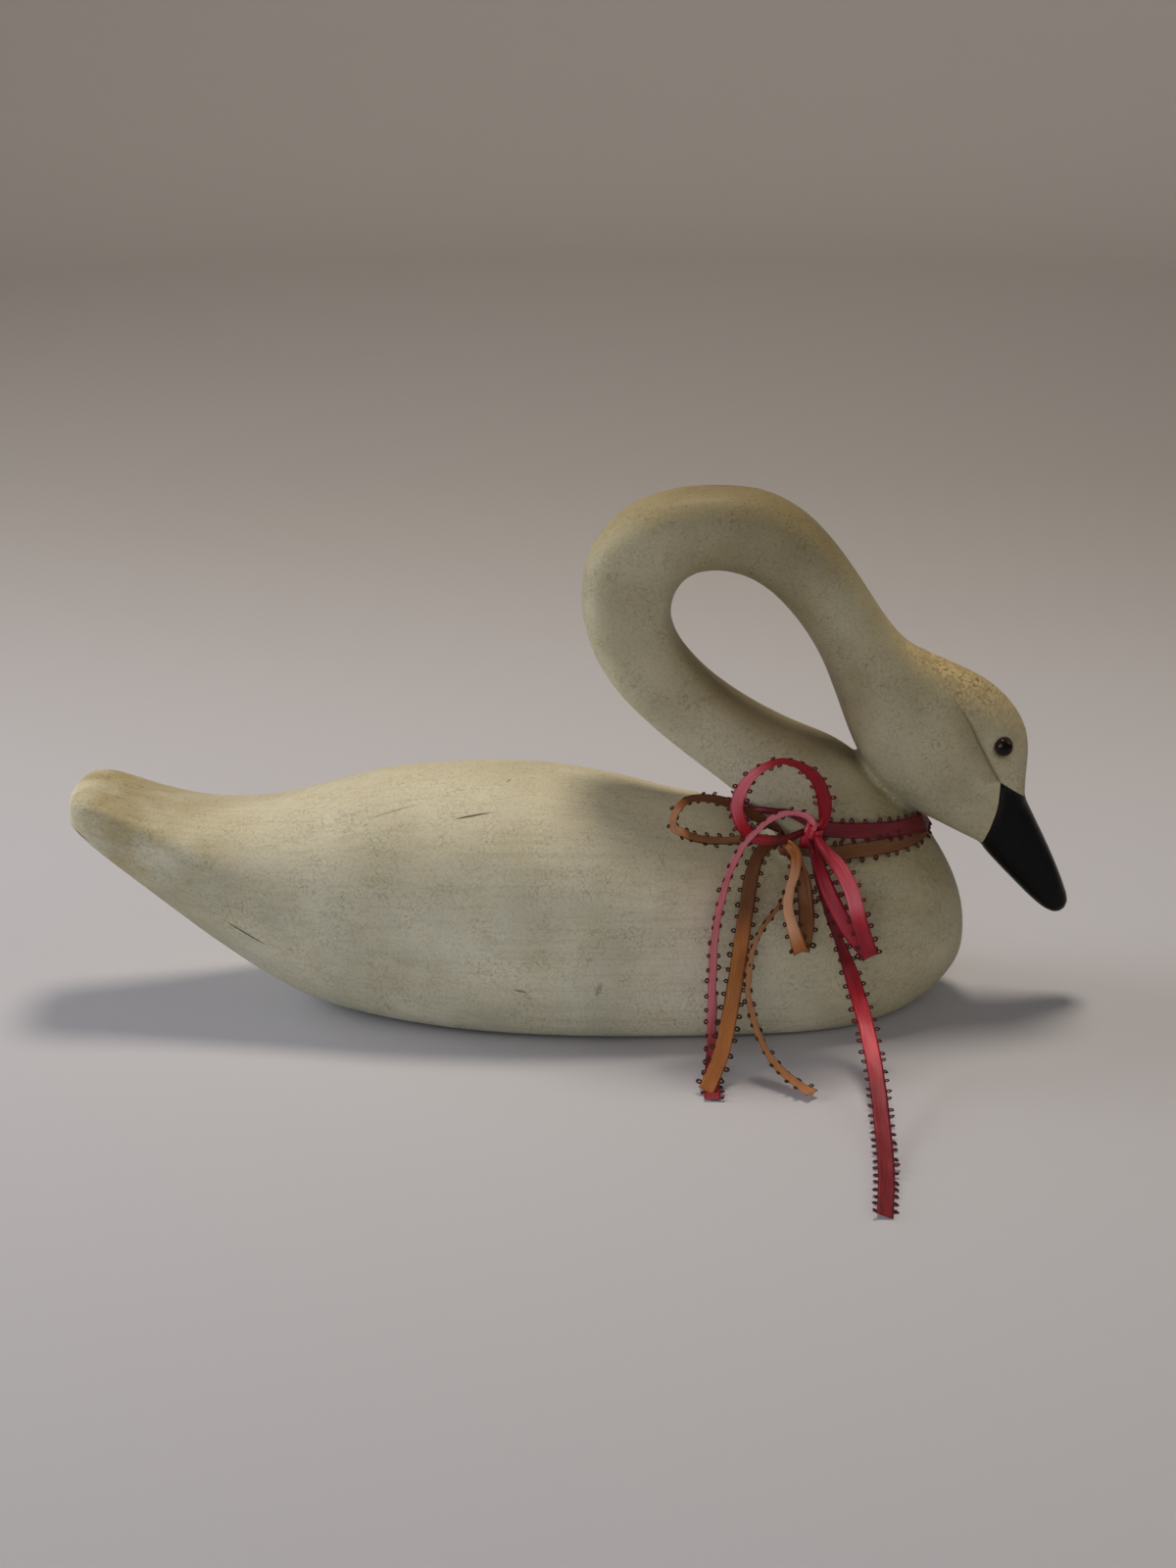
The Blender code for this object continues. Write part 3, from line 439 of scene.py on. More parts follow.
# %% Cracks, knocks and painted contact shade
# Each is a thin cigar between two places on the skin: start, end, half width and strength.
MARKS = [
    ((-70.5, -31.3, 85.5), (-53.8, -28.8, 87.7), 0.55, 0.9),
    ((-101.7, -27.1, 84.3), (-83.1, -23.6, 89.0), 0.7, 0.35),
    ((-158.5, -29.6, 43.4), (-141.5, -34.1, 34.6), 0.6, 0.9),
    ((-50.6, -14.2, 94.3), (-48.4, -10.4, 94.4), 0.55, 0.8),
    ((-46.2, -50.3, 23.4), (-41.8, -50.4, 22.4), 0.6, 0.6),
    ((-13.2, -51.2, 27.0), (-15.6, -51.0, 20.8), 1.3, 0.35),
    ((22.5, 5.0, 206.4), (40.5, 4.0, 206.2), 0.55, 0.8),
    ((-219.4, -10.0, 78.4), (-211.5, -14.2, 69.6), 1.5, 0.95),
    ((-92.0, 30.0, 82.0), (-71.0, 33.5, 84.0), 0.6, 0.6),
    ((-20.0, 51.3, 40.0), (-8.0, 51.6, 37.0), 0.6, 0.5),
    ((105.0, 17.4, 122.0), (112.0, 17.6, 116.0), 0.5, 0.5),
]
for start, end, half_width, strength in MARKS:
    start, end = Vector(start), Vector(end)
    reach = ((end - start).length / 2 + 1.0, half_width, half_width)
    mark = near(tree, in_mm, (start + end) / 2, reach, along=end - start, soft=0.5)
    paint = laid(tree, paint, mark, strength, "#4A3B26", LAID_OVER)
# Painted contact shade: the lowest millimetre and a half, where the swan meets the paper, is darker.
painted_contact_shade = add_node(tree, "MapRange", {0: height, 1: 1.6, 2: 0.5, 4: 0.7}, 0)
paint = add_node(tree, "Mix", {0: painted_contact_shade, 6: paint, 7: linear("#4B4436")}, 2, **LAID_OVER)
print(len(MARKS), "marks, and a dark line where it stands")

# %% [markdown]
# The bill is satin black enamel up to a crisp line, straight over its root and bowed along the cheek.
# Rather than cut the skin there, a curve gives the line's place along the swan for each height, and
# the paint turns black ahead of it. That keeps the edge as sharp as a brush leaves it.

# %% Paint the bill
CHEEK_LINE = [
    (50.0, 129.0), (62.0, 132.4), (65.6, 133.6), (68.8, 134.9), (72.0, 135.8), (75.2, 136.9),
    (78.5, 137.8), (81.9, 138.7), (84.3, 139.2), (87.6, 139.5), (91.6, 139.7), (100.0, 139.7),
]
BILL_TOP = ((139.7, 94.7), (158.0, 80.4))

ahead = ahead_of_line(tree, along, height, CHEEK_LINE)
(x0, z0), (x1, z1) = BILL_TOP
over = add_node(tree, "MapRange", {0: along, 1: x0, 2: x1, 3: z0, 4: z1}, 0)
under = add_node(tree, "Math", {0: over, 1: height}, 0, operation="SUBTRACT")
ahead = add_node(tree, "Math", {0: ahead, 1: under}, 0, operation="MINIMUM")
black = add_node(tree, "MapRange", {0: ahead, 1: -0.15, 2: 0.15}, 0)
share = add_node(tree, "MapRange", {0: grain, 1: 0.4, 2: 0.7}, 0)
enamel = add_node(tree, "Mix", {0: share, 6: linear("#040405"), 7: linear("#080708")}, 2, **LAID_OVER)
colour = add_node(tree, "Mix", {0: black, 6: paint, 7: enamel}, 2, **LAID_OVER)
print("bill line runs from", CHEEK_LINE[1], "to", CHEEK_LINE[-2])

# %% Paint round the eyes
EYE_AT = (140.8, 108.2)
SOCKET_RADIUS = 3.9
socket = near(tree, in_mm, (EYE_AT[0], 0, EYE_AT[1]), (SOCKET_RADIUS, 60, SOCKET_RADIUS), soft=0.88)
colour = laid(tree, colour, socket, 0.8, "#2A1A12", LAID_OVER)
tree.links.new(colour, shader.inputs["Base Color"])
print("sockets are dark within", SOCKET_RADIUS, "mm of the eye's middle")

# %% Gloss and relief
# Eggshell paint is duller in some patches than in others, and the enamel shines more.
WAVE_SIZE = 15.0
dull = add_node(tree, "MapRange", {0: patch, 1: 0.35, 2: 0.65, 3: 0.44, 4: 0.56}, 0)
gloss = add_node(tree, "Mix", {0: black, 2: dull, 3: 0.34}, 0)
tree.links.new(gloss, shader.inputs["Roughness"])
waves = add_node(tree, "TexNoise", {"Vector": in_mm, "Scale": 1 / WAVE_SIZE, "Detail": 2.0}, 0)
relief = add_node(tree, "Math", {0: waves, 1: 2.2}, 0, **TIMES)
for layer, depth in ((grain, 0.5), (crackle, -0.9), (brush, 0.35), (step, -1.6)):
    part = add_node(tree, "Math", {0: layer, 1: depth}, 0, **TIMES)
    relief = add_node(tree, "Math", {0: relief, 1: part}, 0, operation="ADD")
bump = add_node(tree, "Bump", {"Height": relief, "Strength": 0.5, "Distance": 0.0003}, "Normal")
tree.links.new(bump, shader.inputs["Normal"])
shader.inputs["Specular IOR Level"].default_value = 0.15
skin.data.materials.append(painted_wood)
print("paint has", len(tree.nodes), "nodes in all")

# %% [markdown]
# Each eye is a low glass dome set into a drilled socket, black with a thin dark brown ring. A sphere
# squashed to a lens does it: its top stands proud of the cheek and its lower half hides in the socket.
# The cheek leans in towards the bill, so the lens is turned to lie square on it.

# %% Make the eyes
EYE_RADIUS = 3.35
EYE_PROUD = 1.3
EYE_DEPTH = 2.4
CHEEK_LEAN = (0.15, 0.12)  # how fast the cheek nears the middle plane, forwards and upwards

for side, word in ((-1, "right"), (1, "left")):
    low, high = (np.array(corner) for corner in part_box(f"eye_{word}"))
    facing = Vector((CHEEK_LEAN[0], side, CHEEK_LEAN[1])).normalized()
    base = Vector((EYE_AT[0] * MM, 0, EYE_AT[1] * MM))
    base.y = (high[1] - EYE_PROUD * MM) if side > 0 else (low[1] + EYE_PROUD * MM)
    bpy.ops.object.select_all(action="DESELECT")
    bpy.ops.mesh.primitive_uv_sphere_add(segments=48, ring_count=24, radius=EYE_RADIUS * MM)
    eye = bpy.context.object
    eye.name = f"glass_eye_{word}"
    bpy.ops.object.mode_set(mode="EDIT")
    for upper, depth in ((True, EYE_PROUD), (False, EYE_DEPTH)):
        bpy.ops.mesh.select_all(action="DESELECT")
        shape = bmesh.from_edit_mesh(eye.data)
        for vert in shape.verts:
            vert.select_set((vert.co.z > 1e-7) == upper and abs(vert.co.z) > 1e-7)
        shape.select_flush(True)
        bmesh.update_edit_mesh(eye.data)
        bpy.ops.transform.resize(value=(1, 1, depth / EYE_RADIUS), center_override=(0, 0, 0))
    bpy.ops.object.mode_set(mode="OBJECT")
    eye.rotation_euler = Vector((0, 0, 1)).rotation_difference(facing).to_euler()
    eye.location = base
    bpy.ops.object.transform_apply(location=True, rotation=True, scale=True)
    eye.data.shade_smooth()
    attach(eye, "root")
    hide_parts(f"eye_{word}")
    print(eye.name, "stands at", [round(1000 * c, 1) for c in base])

# %% Glass with a brown ring
# Cast glass over dark paint: mirror smooth, so it holds one small bright spot.
RING_FROM = 2.2
RING_TO = 2.6

glass, tree, shader = new_material("cast_glass")
coords = add_node(tree, "TexCoord", out="Object")
flat = add_node(tree, "VectorMath", {0: coords, 1: (1000, 0, 1000)}, 0, operation="MULTIPLY")
centre = (EYE_AT[0], 0.0, EYE_AT[1])
out = add_node(tree, "VectorMath", {0: flat, 1: centre}, "Value", operation="DISTANCE")
share = add_node(tree, "MapRange", {0: out, 1: RING_FROM, 2: RING_TO}, 0)
ring = add_node(tree, "Mix", {0: share, 6: linear("#050405"), 7: linear("#2E1712")}, 2, **LAID_OVER)
tree.links.new(ring, shader.inputs["Base Color"])
shader.inputs["Roughness"].default_value = 0.05
shader.inputs["Specular IOR Level"].default_value = 0.25
for word in ("right", "left"):
    bpy.data.objects[f"glass_eye_{word}"].data.materials.append(glass)
print("each eye has a brown ring from", RING_FROM, "mm out")

# %% [markdown]
# Both ribbons are 6 mm satin with a picot edge. Each goes once round the root of the neck and is
# tied at the right side into a knot, two loops and two loose ends. Loops and ends are drawn as
# places on a path: how far along the swan, how far out from its side, how high, how far the
# ribbon is turned about its own path, and how much of its width shows. The ribbons in the frame run
# the same way, as stiff flat strips.

# %% Paths of the loops and ends
BODY_SIDE = 52.0  # from the middle plane to the widest place of the body
RED_LOOP_UP = [
    (69.4, -14.0, 85.8, 25, 0.6), (69.7, -9.0, 98.2, 32, 1), (65.1, -5.0, 108.9, 52, 1),
    (58.3, -3.0, 114.2, 66, 1), (52.0, -1.0, 115.7, 68, 1), (44.7, 0.5, 113.1, 58, 1),
    (39.4, 1.0, 107.6, 42, 1), (36.7, 0.0, 99.1, 34, 1), (38.7, -1.5, 90.4, 32, 1),
    (43.7, -3.0, 84.8, 30, 0.8), (53.1, -7.0, 82.5, 20, 0.6),
]
RED_LOOP_DOWN = [
    (71.2, -6.0, 77.8, 0, 0.7), (75.9, 0.0, 73.4, 5, 1), (79.4, 4.0, 67.1, 5, 1),
    (82.7, 8.0, 55.8, 5, 1), (85.7, 10.5, 46.5, 5, 1), (86.8, 10.5, 43.0, 5, 1),
    (87.0, 9.2, 41.6, 5, 1), (86.2, 7.8, 42.8, 5, 1), (83.8, 7.0, 45.6, 5, 1),
    (80.0, 6.0, 50.0, 5, 1), (73.9, 3.0, 59.8, 5, 1), (68.8, -2.5, 71.4, 10, 0.8),
]
RED_TAIL_BACK = [
    (66.4, -10.5, 86.6, 50, 0.5), (64.2, -8.0, 91.0, 58, 0.7), (60.0, -5.5, 93.6, 66, 0.9),
    (54.6, -3.0, 94.5, 68, 1), (48.6, 0.0, 92.9, 68, 1), (42.8, 3.5, 89.0, 66, 1),
    (38.1, 5.5, 83.7, 65, 1), (34.2, 7.0, 75.8, 64, 1), (30.7, 8.5, 63.4, 62, 1),
    (28.5, 11.0, 49.9, 60, 1), (27.8, 15.0, 36.9, 57, 1), (27.6, 20.0, 23.2, 53, 1),
    (27.5, 24.6, 12.8, 48, 1), (27.5, 29.0, 5.6, 35, 1), (27.4, 34.0, 2.0, 15, 1),
    (27.2, 40.0, 1.1, 0, 1), (27.1, 46.0, 1.0, 0, 1),
]
RED_TAIL_FRONT = [
    (67.0, -7.0, 71.5, 50, 0.6), (69.1, -2.5, 63.3, 58, 0.9), (73.5, 1.5, 51.1, 58, 1),
    (77.9, 5.5, 40.8, 40, 1), (81.3, 12.0, 31.6, 14, 1), (84.3, 22.5, 22.3, 0, 1),
    (86.1, 37.0, 15.1, 0, 1), (86.7, 54.0, 9.5, 0, 1), (86.4, 73.0, 5.2, 0, 1),
    (84.9, 103.0, 2.2, 0, 1), (81.3, 135.0, 1.3, 0, 1),
]
GOLD_LOOP_BACK = [
    (54.0, -14.0, 83.0, 50, 0.5), (47.7, -11.0, 88.5, 54, 1), (35.6, -6.0, 96.9, 56, 1),
    (25.1, -2.0, 101.1, 60, 1), (17.8, 0.0, 100.7, 64, 1), (13.8, 1.0, 96.8, 60, 1),
    (13.1, 1.0, 91.4, 58, 1), (18.0, -1.0, 86.7, 62, 1), (25.4, -4.0, 83.6, 62, 1),
    (34.8, -8.0, 81.7, 62, 1), (43.4, -11.0, 81.6, 58, 1), (52.0, -14.0, 80.0, 50, 0.5),
]
GOLD_LOOP_DOWN = [
    (55.6, -9.0, 80.6, 20, 0.7), (59.0, -5.5, 78.2, 34, 0.9), (58.9, -1.0, 72.2, 44, 1),
    (57.0, 3.5, 67.0, 48, 1), (56.0, 6.0, 61.6, 46, 1), (57.8, 8.5, 54.0, 36, 1),
    (59.8, 10.0, 47.6, 24, 1), (60.8, 9.6, 44.6, 12, 1), (61.3, 7.9, 43.4, 0, 1),
    (61.9, 6.1, 44.6, 0, 1), (63.0, 3.6, 48.6, 0, 1), (63.6, -2.8, 57.6, 0, 1),
    (61.6, -9.0, 69.1, 0, 0.8),
]
GOLD_TAIL_SIDE = [
    (54.6, -11.0, 80.8, 40, 0.8), (49.9, -8.5, 80.6, 42, 1), (45.6, -5.5, 77.2, 34, 1),
    (43.1, -2.0, 72.0, 25, 1), (41.6, 2.0, 65.1, 20, 1), (40.1, 5.0, 55.7, 15, 1),
    (38.3, 9.5, 44.1, 10, 1), (36.4, 15.5, 33.9, 5, 1), (33.7, 23.0, 21.7, 0, 1),
    (31.2, 29.5, 12.8, 0, 1), (28.9, 33.6, 7.6, 0, 1), (26.9, 36.8, 4.4, 0, 1),
    (24.9, 40.8, 1.7, 0, 1),
]
GOLD_TAIL_CURL = [
    (60.6, -12.0, 71.3, 60, 0.6), (58.8, -8.0, 65.9, 68, 1), (55.2, -2.5, 60.6, 71, 1),
    (49.9, 2.0, 55.3, 71, 1), (45.0, 6.0, 49.0, 69, 1), (42.3, 10.0, 41.5, 67, 1),
    (41.1, 16.0, 31.4, 66, 1), (43.5, 23.0, 20.6, 67, 1), (47.7, 28.5, 11.9, 67, 1),
    (53.4, 34.0, 6.2, 66, 1), (58.8, 39.5, 3.9, 64, 1), (63.8, 44.5, 2.6, 58, 1),
]
RED_PATHS = (RED_LOOP_UP, RED_LOOP_DOWN, RED_TAIL_BACK, RED_TAIL_FRONT)
print("red paths have", sum(len(path) for path in RED_PATHS), "places")

# %% [markdown]
# A ribbon is a strip of faces: at each place it needs a middle, the way it runs, the way its width
# lies and the way it faces. A smooth curve through the drawn places gives the middle. The width
# starts level to the viewer and is turned by the drawn angle, and where the path folds back it keeps
# the lie that it had, so that the strip never spins round.

# %% Follow a path
TOWARDS_VIEW = np.array((0.0, -0.942, 0.335))
RIBBON_WIDTH = 6.0
RIBBON_STEP = 1.1


def unit(vector):
    """The vector at length 1."""
    return vector / np.linalg.norm(vector)


def smooth_curve(rows, step):
    """Rows on a smooth curve through the given rows, no further apart than the step."""
    gaps = np.linalg.norm(np.diff(rows[:, :3], axis=0), axis=1)
    slopes = np.gradient(rows, np.concatenate([[0], np.cumsum(gaps)]), axis=0)
    found = []
    for i, gap in enumerate(gaps):
        count = math.ceil(gap / step)
        for t in np.arange(count) / count:
            leaving = (2 * t**3 - 3 * t**2 + 1) * rows[i] + (t**3 - 2 * t**2 + t) * gap * slopes[i]
            arriving = (3 * t**2 - 2 * t**3) * rows[i + 1] + (t**3 - t**2) * gap * slopes[i + 1]
            found.append(leaving + arriving)
    found.append(rows[-1])
    return np.array(found)


def strip_places(start, route, painted_sheen_and_shade, end=None):
    """Middles, ways of the width, facings, width shares and painted sheen and shade along a loop or a
    loose end.
    """
    rows = [(*start, route[0][3], KNOT_SHARE)]
    rows += [(x, -BODY_SIDE - out, z, turn, share) for x, out, z, turn, share in route]
    if end is not None:
        rows.append((*end, route[-1][3], KNOT_SHARE))
    rows = smooth_curve(np.array(rows), RIBBON_STEP)
    middles = rows[:, :3]
    level = np.zeros(3)
    wides = []
    facings = []
    for way, turn in zip(np.gradient(middles, axis=0), np.radians(rows[:, 3])):
        way = unit(way)
        sideways = np.cross(way, TOWARDS_VIEW)
        if sideways.dot(level) < 0:
            sideways = -sideways
        level = sideways + level * (1 - np.linalg.norm(sideways))
        level = unit(level - way * level.dot(way))
        wide = math.cos(turn) * level + math.sin(turn) * np.cross(level, way)
        wides.append(wide)
        facings.append(np.cross(wide, way))
    painted_shine_and_shade = np.interp(np.linspace(0, 1, len(rows)), *zip(*painted_sheen_and_shade))
    return middles, np.array(wides), np.array(facings), rows[:, 4], painted_shine_and_shade


# %% [markdown]
# The bands aren't drawn by hand: they lie on the neck. Rays from inside the neck find its surface at
# each turn, and the band is held a little off it, all across its width, so it never cuts in.

# %% Find the band's places
BAND_STEPS = 132
BAND_CENTRE = (78.0, 78.4)
BAND_SLOPE = -0.13
BAND_LEAN = 0.7
BAND_SEARCH = 3.2
BAND_SHARES = (-1.2, -0.6, 0.0, 0.6, 1.2)
BAND_AIR = 0.75
LAYER_AIR = 1.1
# The bands get almost no painted sheen, so they take the dull tone, painted shade included.
BAND_SHEEN_AND_SHADE = 0.04
# Pairs of (place along the swan, value) for the right side: how far each band rises, and the share
# of its width that shows where both are drawn in towards the knot.
RED_RISE = [
    (44, 1.0), (51, 4.8), (58, 5.0), (66, 2.0), (74, 1.0), (92, 2.0), (104, 2.6), (110, 2.0),
    (114, 0.0),
]
GOLD_RISE = [(44, 0.0), (51, -0.4), (58, -3.2), (66, -6.4), (74, -6.2), (92, -3.6), (112, 0.0)]
BAND_DRAWN_IN = [(43, 1.0), (48, 0.5), (62, 0.45), (66, 0.55), (72, 1.0)]

corners = [vert.co for vert in carving.data.vertices]
wood = BVHTree.FromPolygons(corners, [face.vertices for face in carving.data.polygons])


def surface_from(start, direction):
    """Where a line first meets the carving, in millimetres, and the way the carving faces there."""
    hit, normal, _, _ = wood.ray_cast(Vector(start) * MM, Vector(direction).normalized())
    return np.array(hit) / MM, np.array(normal)


def band_places(layer, rises):
    """The same five for a band round the neck, with its first place repeated at the end."""
    middles = []
    slopes = []
    for angle in np.linspace(0, math.tau, BAND_STEPS, endpoint=False):
        way = np.array([math.cos(angle), math.sin(angle), BAND_SLOPE * math.cos(angle)])
        place, _ = surface_from((BAND_CENTRE[0], 0, BAND_CENTRE[1]), way)
        rise = np.interp(place[0], *zip(*rises)) if way[1] < 0 else 0.0
        height = BAND_CENTRE[1] + BAND_SLOPE * (place[0] - BAND_CENTRE[0]) + rise
        place, normal = surface_from((BAND_CENTRE[0], 0, height), (way[0], way[1], 0))
        middles.append(place)
        slopes.append(min(max(normal[2], -BAND_LEAN), BAND_LEAN))
    middles = np.array(middles)
    slopes = evened(np.array(slopes), 20)
    ways = np.roll(middles, -2, axis=0) - np.roll(middles, 2, axis=0)
    wides = []
    facings = []
    rests = []
    for middle, way, slope in zip(middles, ways, slopes):
        facing = unit(unit(np.array([way[1], -way[0], 0])) + np.array([0, 0, slope]))
        wide = unit(np.cross(way, facing))
        rest = 0.0
        for share in BAND_SHARES:
            start = middle + wide * RIBBON_WIDTH / 2 * share + facing * BAND_SEARCH
            place, normal = surface_from(start, -facing)
            if normal.dot(facing) > 0:
                rest = max(rest, BAND_SEARCH - np.linalg.norm(place - start))
        wides.append(wide)
        facings.append(facing)
        rests.append(rest)
    for shift in range(1, 4):
        rests = np.maximum.reduce([rests, np.roll(rests, shift), np.roll(rests, -shift)])
    lifts = evened(np.array(rests), 6) + BAND_AIR + layer * LAYER_AIR
    middles = middles + np.array(facings) * lifts[:, None]
    shares = [np.interp(place[0], *zip(*BAND_DRAWN_IN)) if place[1] < 0 else 1.0 for place in middles]
    loop = [*range(BAND_STEPS), 0]
    painted_shine_and_shade = np.full(len(loop), BAND_SHEEN_AND_SHADE)
    return middles[loop], np.array(wides)[loop], np.array(facings)[loop], np.array(shares)[loop], painted_shine_and_shade


def evened(values, rounds):
    """A ring of values evened out with their neighbours."""
    for _ in range(rounds):
        values = (values * 2 + np.roll(values, 1, axis=0) + np.roll(values, -1, axis=0)) / 4
    return values


print("band starts", np.round(band_places(0, GOLD_RISE)[0][0], 1))

# %% [markdown]
# In a knot the ribbon is bunched into pleats and wrapped once round the strands. The wrap is a short
# barrel whose wall waves in and out, so that light catches the pleats, and it hides where the
# strands end.

# %% Places in the knots
KNOT_DEPTH = 5.2
KNOT_SHARE = 0.4
KNOT_SPREAD = 1.3
RED_KNOT_AT = (66.2, 78.6)
GOLD_KNOT_AT = (58.4, 75.6)
CLEARANCE = 0.3
KNOT_LAYER = 1.4  # the frame's step from one ribbon to the one over it


def knot_centre(place, layer):
    """The middle of a knot that rests on the carving at (x, z), in the lower or the upper layer."""
    start = (place[0], -2 * BODY_SIDE, place[1])
    hit, normal = surface_from(start, (0, 1, 0))
    return hit + normal * (CLEARANCE + layer * KNOT_LAYER + KNOT_DEPTH / 2)


def in_knot(centre, turn):
    """One of the places in a knot where its strands end, spread about the centre."""
    turn = math.radians(turn)
    return centre + KNOT_SPREAD * np.array([math.cos(turn), 0.3 * math.sin(2 * turn), math.sin(turn)])


red_knot = knot_centre(RED_KNOT_AT, 1)
gold_knot = knot_centre(GOLD_KNOT_AT, 0)
print("knots at", np.round(red_knot, 1), np.round(gold_knot, 1))

# %% [markdown]
# Each strip gets seven columns of faces so that it can cup a little and crumple where it enters the
# knot. Its UV map holds millimetres across and along, so the weave follows the ribbon wherever it
# turns. A Solidify modifier then gives it the thickness of cloth.

# %% Build strips
COLUMNS = np.linspace(-1, 1, 7)
CLOTH_THICKNESS = 0.28
CUP = 0.22
PLEAT = 1.3
RIPPLE = 0.10
WRAP_RADIUS = 3.0
WRAP_STEPS = 30
WRAP_WAVE = 0.28
WRAP_FALL = 0.75  # how far the rims of the wrap turn in


def cross_section(share, row):
    """Places across the strip as (share of the half width, height), pleated where it is drawn in."""
    pleat = PLEAT * math.sqrt(max(0.0, 1 - share * share))
    heights = CUP * (COLUMNS**2 - 0.4) + pleat * np.cos(COLUMNS * math.pi * 1.5) * 0.5
    heights += RIPPLE * COLUMNS * math.sin(row * 0.33) + RIPPLE * COLUMNS**2 * math.sin(row * 0.47 + 1)
    return COLUMNS * share, heights


def add_strip(shape, uv, painted_shine_and_shade, places):
    """A loop, a loose end or a band as faces of the shape. It gives its length in millimetres."""
    middles, wides, facings, shares, painted_sheen_and_shade = places
    rows = []
    for row, (middle, wide, facing, share) in enumerate(zip(middles, wides, facings, shares)):
        across, heights = cross_section(min(share, 1.0), row)
        points = middle + np.outer(across, wide) * RIBBON_WIDTH / 2 + np.outer(heights, facing)
        rows.append([shape.verts.new(Vector(point) * MM) for point in points])
        for vert in rows[-1]:
            vert[painted_shine_and_shade] = painted_sheen_and_shade[row]
    lengths = np.concatenate([[0], np.cumsum(np.linalg.norm(np.diff(middles, axis=0), axis=1))])
    for i in range(len(rows) - 1):
        for j in range(len(COLUMNS) - 1):
            face = shape.faces.new((rows[i][j], rows[i][j + 1], rows[i + 1][j + 1], rows[i + 1][j]))
            face.smooth = True
            corners = ((i, j), (i, j + 1), (i + 1, j + 1), (i + 1, j))
            for loop, (a, b) in zip(face.loops, corners):
                loop[uv].uv = (COLUMNS[b] * RIBBON_WIDTH / 2, lengths[a])
    return lengths[-1]


def add_wrap(shape, uv, painted_shine_and_shade, centre, tilt, painted_sheen_and_shade, width, tall):
    """The turn of ribbon round a knot, closed on itself, with pleats along it. It gives its length."""
    across = np.linspace(-1, 1, 13)
    axis = np.array([math.cos(math.radians(tilt)), 0.0, math.sin(math.radians(tilt))])
    up = np.array([-axis[2], 0.0, axis[0]])
    out = np.array([0.0, -1.0, 0.0])
    turned = math.tau * WRAP_RADIUS / WRAP_STEPS
    rows = []
    for i in range(WRAP_STEPS):
        turn = math.tau * i / WRAP_STEPS
        radial = math.cos(turn) * out + math.sin(turn) * up * tall
        row = []
        for share in across:
            wave = WRAP_WAVE * math.cos(share * math.pi * 3.2 + 1.2 * math.sin(turn * 2))
            wave -= WRAP_FALL * abs(share) ** 3
            point = centre + axis * share * width / 2 * (1 + 0.12 * math.sin(turn + 0.7))
            point = point + radial * (WRAP_RADIUS + wave)
            row.append(shape.verts.new(Vector(point) * MM))
            row[-1][painted_shine_and_shade] = painted_sheen_and_shade
        rows.append(row)
    for i in range(WRAP_STEPS):
        first, second = rows[i], rows[(i + 1) % WRAP_STEPS]
        for j in range(len(across) - 1):
            face = shape.faces.new((first[j], first[j + 1], second[j + 1], second[j]))
            face.smooth = True
            for loop, (a, b) in zip(face.loops, ((0, j), (0, j + 1), (1, j + 1), (1, j))):
                loop[uv].uv = (across[b] * RIBBON_WIDTH / 2, (i + a) * turned)
    return math.tau * WRAP_RADIUS


def ribbon(name, node, strips, wrap):
    """A whole ribbon as one piece of cloth. It gives the piece and its length in metres."""
    shape = bmesh.new()
    uv = shape.loops.layers.uv.new("weave")
    painted_shine_and_shade = shape.verts.layers.float.new("painted_sheen_and_shade")
    length = sum(add_strip(shape, uv, painted_shine_and_shade, places) for places in strips)
    length += add_wrap(shape, uv, painted_shine_and_shade, **wrap)
    mesh = bpy.data.meshes.new(name)
    shape.to_mesh(mesh)
    shape.free()
    piece = add_object(name, mesh)
    cloth = piece.modifiers.new("cloth", "SOLIDIFY")
    cloth.thickness = CLOTH_THICKNESS * MM
    cloth.offset = 0.0
    apply_modifiers(piece)
    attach(piece, "root")
    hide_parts(node)
    print(name, "is", round(length), "mm long, with", len(mesh.polygons), "faces")
    return piece, length * MM


# %% Strands of each knot
# Degrees round the knot where a loop starts and ends (a loose end has no end there), its path, and
# pairs of (share of its length, painted sheen and shade): 0 where the dull side shows or a slack fold
# lies in painted shade, 0.5 for plain satin, and 1 for a painted highlight where the long threads
# glisten.
GOLD_STRANDS = [
    (110, 150, GOLD_LOOP_BACK,
     [(0, 0.0), (0.44, 0.02), (0.50, 0.95), (0.58, 1.0), (0.63, 0.08), (1, 0.06)]),
    (130, 310, GOLD_LOOP_DOWN,
     [(0, 0.1), (0.15, 0.3), (0.24, 0.9), (0.44, 1.0), (0.52, 0.5), (0.60, 0.15), (1, 0.10)]),
    (60, None, GOLD_TAIL_SIDE, [(0, 0.0), (0.38, 0.04), (0.50, 0.48), (1, 0.45)]),
    (270, None, GOLD_TAIL_CURL, [(0, 0.2), (0.4, 0.7), (1, 0.6)]),
]
RED_STRANDS = [
    (70, 170, RED_LOOP_UP,
     [(0, 0.25), (0.24, 0.18), (0.42, 0.35), (0.52, 0.85), (0.66, 0.7), (0.78, 0.35), (0.86, 0.0),
      (1, 0.1)]),
    (350, 310, RED_LOOP_DOWN,
     [(0, 0.45), (0.18, 0.6), (0.33, 0.75), (0.42, 0.3), (0.5, 0.25), (0.6, 0.45), (0.8, 0.3),
      (1, 0.08)]),
    (90, None, RED_TAIL_BACK,
     [(0, 0.3), (0.08, 0.9), (0.2, 1.0), (0.75, 0.9), (0.92, 0.3), (1, 0.2)]),
    (270, None, RED_TAIL_FRONT,
     [(0, 0.12), (0.28, 0.15), (0.36, 0.5), (0.46, 0.5), (0.58, 0.15), (1, 0.12)]),
]


